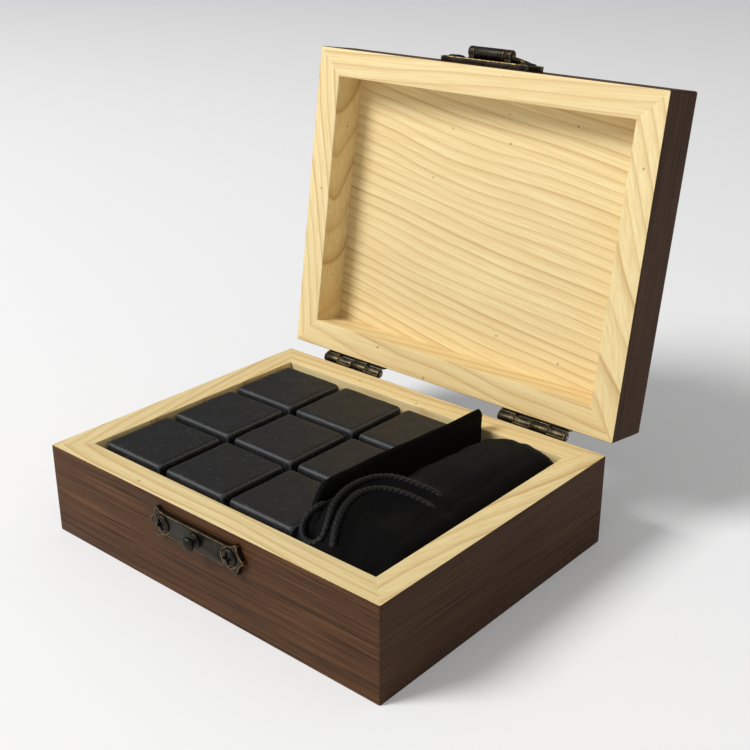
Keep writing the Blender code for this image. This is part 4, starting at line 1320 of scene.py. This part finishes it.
def pouch_section(y):
    """The strip's middle line in X and Z, from the flap's top to the end of the roll."""
    top, left, bend = flap_top(y), roll_left(y), 2.4 * MM
    line = []
    for z in np.linspace(top, FLOOR_Z + bend, 18):
        lean = max(0.0, z - RIM) / (8 * MM)
        line.append((FLAP_X + 0.55 * MM * lean**2 * (1 + 1.3 * crease(z, y, 90, 60, 3.3)), z))
    line += corner_points((FLAP_X + bend, FLOOR_Z + bend), bend, 180, 270, 6)[1:]
    line += [(x, FLOOR_Z) for x in np.linspace(FLAP_X + bend, RIGHT_X - bend, 8)[1:]]
    line += corner_points((RIGHT_X - bend, FLOOR_Z + bend), bend, 270, 360, 6)[1:]
    shoulder = 2.6 * MM
    side_top = max(FLOOR_Z + bend + MM, roll_top(RIGHT_X - shoulder, y) - shoulder)
    line += [(RIGHT_X, z) for z in np.linspace(FLOOR_Z + bend, side_top, 8)[1:]]
    line += corner_points((RIGHT_X - shoulder, side_top), shoulder, 0, 90, 7)[1:]
    curl, tuck, tip = 1.9 * MM, 3.4 * MM, 2 * MM
    for x in np.linspace(RIGHT_X - shoulder, left + curl, 34)[1:]:
        line.append((x, roll_top(x, y)))
    last = roll_top(left + curl, y)
    line += corner_points((left + curl, last - curl), curl, 90, 180, 7)[1:]
    line += [(left, z) for z in np.linspace(last - curl, last - curl - tuck, 5)[1:]]
    line += corner_points((left + tip, last - curl - tuck), tip, 180, 300, 6)[1:]
    return np.array(line)


def thick_strip(line, y):
    """A closed ring round the middle line, with rounded ends."""
    along = np.gradient(line, axis=0)
    along /= np.linalg.norm(along, axis=1)[:, None]
    side = np.stack([-along[:, 1], along[:, 0]], axis=1) * CLOTH_HALF
    nose, tail = line[0] - along[0] * CLOTH_HALF * 0.8, line[-1] + along[-1] * CLOTH_HALF * 0.8
    ring = [nose, *(line + side), tail, *(line - side)[::-1]]
    return [(x, y, z) for x, z in ring]


stations = [POUCH_FRONT + (POUCH_BACK - POUCH_FRONT) * part / (STATIONS - 1) for part in range(STATIONS)]
sections = [pouch_section(y) for y in stations]
rings = [thick_strip(line, y) for line, y in zip(sections, stations)]
count = len(rings[0])
strip = stacked_rings("pouch", rings, capped=False)
bm = bmesh.new()
bm.from_mesh(strip)
bm.verts.ensure_lookup_table()
half = count // 2
for start, flip in ((0, False), ((STATIONS - 1) * count, True)):
    for index in range(1, half):
        a, b = start + index, start + index + 1
        c, d = start + (count - index - 1) % count, start + (count - index) % count
        corners = [bm.verts[i] for i in dict.fromkeys((a, b, c, d) if flip else (d, c, b, a))]
        bm.faces.new(corners)
    tip = [bm.verts[start], bm.verts[start + 1], bm.verts[start + count - 1]]
    bm.faces.new(tip if flip else tip[::-1])
bmesh.ops.recalc_face_normals(bm, faces=bm.faces)
bm.to_mesh(strip)
bm.free()
pouch = add_piece(
    "pouch_velvet", smooth(strip, 70), [velvet], AS_DRAWN, "pouch", "velvet", "pouch_body", "pouch_flap"
)

# %% [markdown]
# ## Braided drawstring
# The drawstring is a round braid. Plain strands twisted round each other would look like rope; a braid shows
# columns of small slanted stitches that meet in chevrons. One tube carries that pattern as a change of
# radius: the stitch's phase zigzags round the cord, and shallow grooves part the columns.

# %% Braided drawstring
braid, tree, shader = new_finish("braided_cord")
place = step(tree, "ShaderNodeTexCoord").outputs["Object"]
threads = soft_noise(tree, place, 3000.0, 3.0)
yarn = ramp(tree, threads, ((0.35, colour(4, 4, 4)), (0.65, colour(12, 12, 12))))
tree.links.new(yarn, shader.inputs["Base Color"])
tree.links.new(number(tree, "MULTIPLY_ADD", threads, 0.2, 0.5), shader.inputs["Roughness"])
shader.inputs["Sheen Weight"].default_value = 0.05
shader.inputs["Specular IOR Level"].default_value = 0.25
add_relief(tree, shader, threads, 0.5, 0.12 * MM)

BRAID_SIDES = 24
BRAID_COLUMNS = 4
STITCH = 1.25 * MM


def braid_tube(line):
    """A tube along the line, whose radius carries the braid's stitches."""
    ahead = np.gradient(line, axis=0)
    ahead /= np.linalg.norm(ahead, axis=1)[:, None]
    up = Vector((0, 0, 1)).cross(Vector(ahead[0])).normalized()
    rings = []
    for index, (centre, forward) in enumerate(zip(line, ahead)):
        forward = Vector(forward)
        up = (up - forward * up.dot(forward)).normalized()
        across = forward.cross(up)
        ring = []
        for side in range(BRAID_SIDES):
            share = side / BRAID_SIDES
            column = (share * BRAID_COLUMNS) % 1
            zigzag = abs(2 * column - 1)
            phase = math.tau * (index * BRAID_STEP / STITCH + 0.55 * zigzag)
            radius = CORD_RADIUS * (0.83 + 0.11 * math.cos(phase) + 0.07 * math.sin(math.pi * column) ** 0.5)
            angle = math.tau * share
            ring.append(Vector(centre) + (up * math.cos(angle) + across * math.sin(angle)) * radius)
        rings.append(ring)
    return smooth(outward(stacked_rings("braid", rings)), 80)


for name, (line, length) in cord_lines.items():
    cord = add_piece(f"{name}_braid", braid_tube(line), [braid], AS_DRAWN, "pouch", "braided_cord", name)
    print(cord.name, len(cord.data.polygons), "faces")

# %% [markdown]
# ## Floor and light
# The case stands on a plain pale floor. A large soft lamp high on the left gives the shape, a weaker one on
# the right opens the shadows, and a pale sky fills the rest. The floor glows a little, to stay pale far off.

# %% Stage
FLOOR_TONE = (0.86, 0.86, 0.86, 1)
FLOOR_GLOW = 0.14
SKY_STRENGTH = 0.30
FLOOR_HALF = 4
FLOOR_DROP = 0.05 * MM

floor_corners = [(x * FLOOR_HALF, y * FLOOR_HALF, 0) for x, y in ((-1, -1), (1, -1), (1, 1), (-1, 1))]
floor_mesh = new_mesh("floor", floor_corners, [(0, 1, 2, 3)])
floor = bpy.data.objects.new("floor", floor_mesh)
floor.location.z = -FLOOR_DROP
floor_finish, tree, shader = new_finish("pale_floor")
shader.inputs["Base Color"].default_value = FLOOR_TONE
shader.inputs["Roughness"].default_value = 0.9
shader.inputs["Emission Color"].default_value = (1, 1, 1, 1)
shader.inputs["Emission Strength"].default_value = FLOOR_GLOW
floor_mesh.materials.append(floor_finish)
bpy.context.scene.collection.objects.link(floor)


def soft_lamp(name, place, aim, width, watts):
    data = bpy.data.lights.new(name, "AREA")
    data.shape = "DISK"
    data.size = width
    data.energy = watts
    lamp = bpy.data.objects.new(name, data)
    lamp.location = place
    lamp.rotation_mode = "QUATERNION"
    lamp.rotation_quaternion = (Vector(aim) - Vector(place)).to_track_quat("-Z", "Y")
    bpy.context.scene.collection.objects.link(lamp)


soft_lamp("key", place=(-0.80, -1.24, 1.40), aim=(0, 0, 0.03), width=0.80, watts=35.2)
soft_lamp("fill", place=(0.8, -0.25, 0.35), aim=(0, 0, 0.04), width=0.6, watts=0.25)
sky = bpy.data.worlds.new("sky")
sky.use_nodes = True
sky.node_tree.nodes["Background"].inputs["Color"].default_value = (1, 1, 1, 1)
sky.node_tree.nodes["Background"].inputs["Strength"].default_value = SKY_STRENGTH
bpy.context.scene.world = sky
bpy.context.scene.view_settings.view_transform = "Standard"
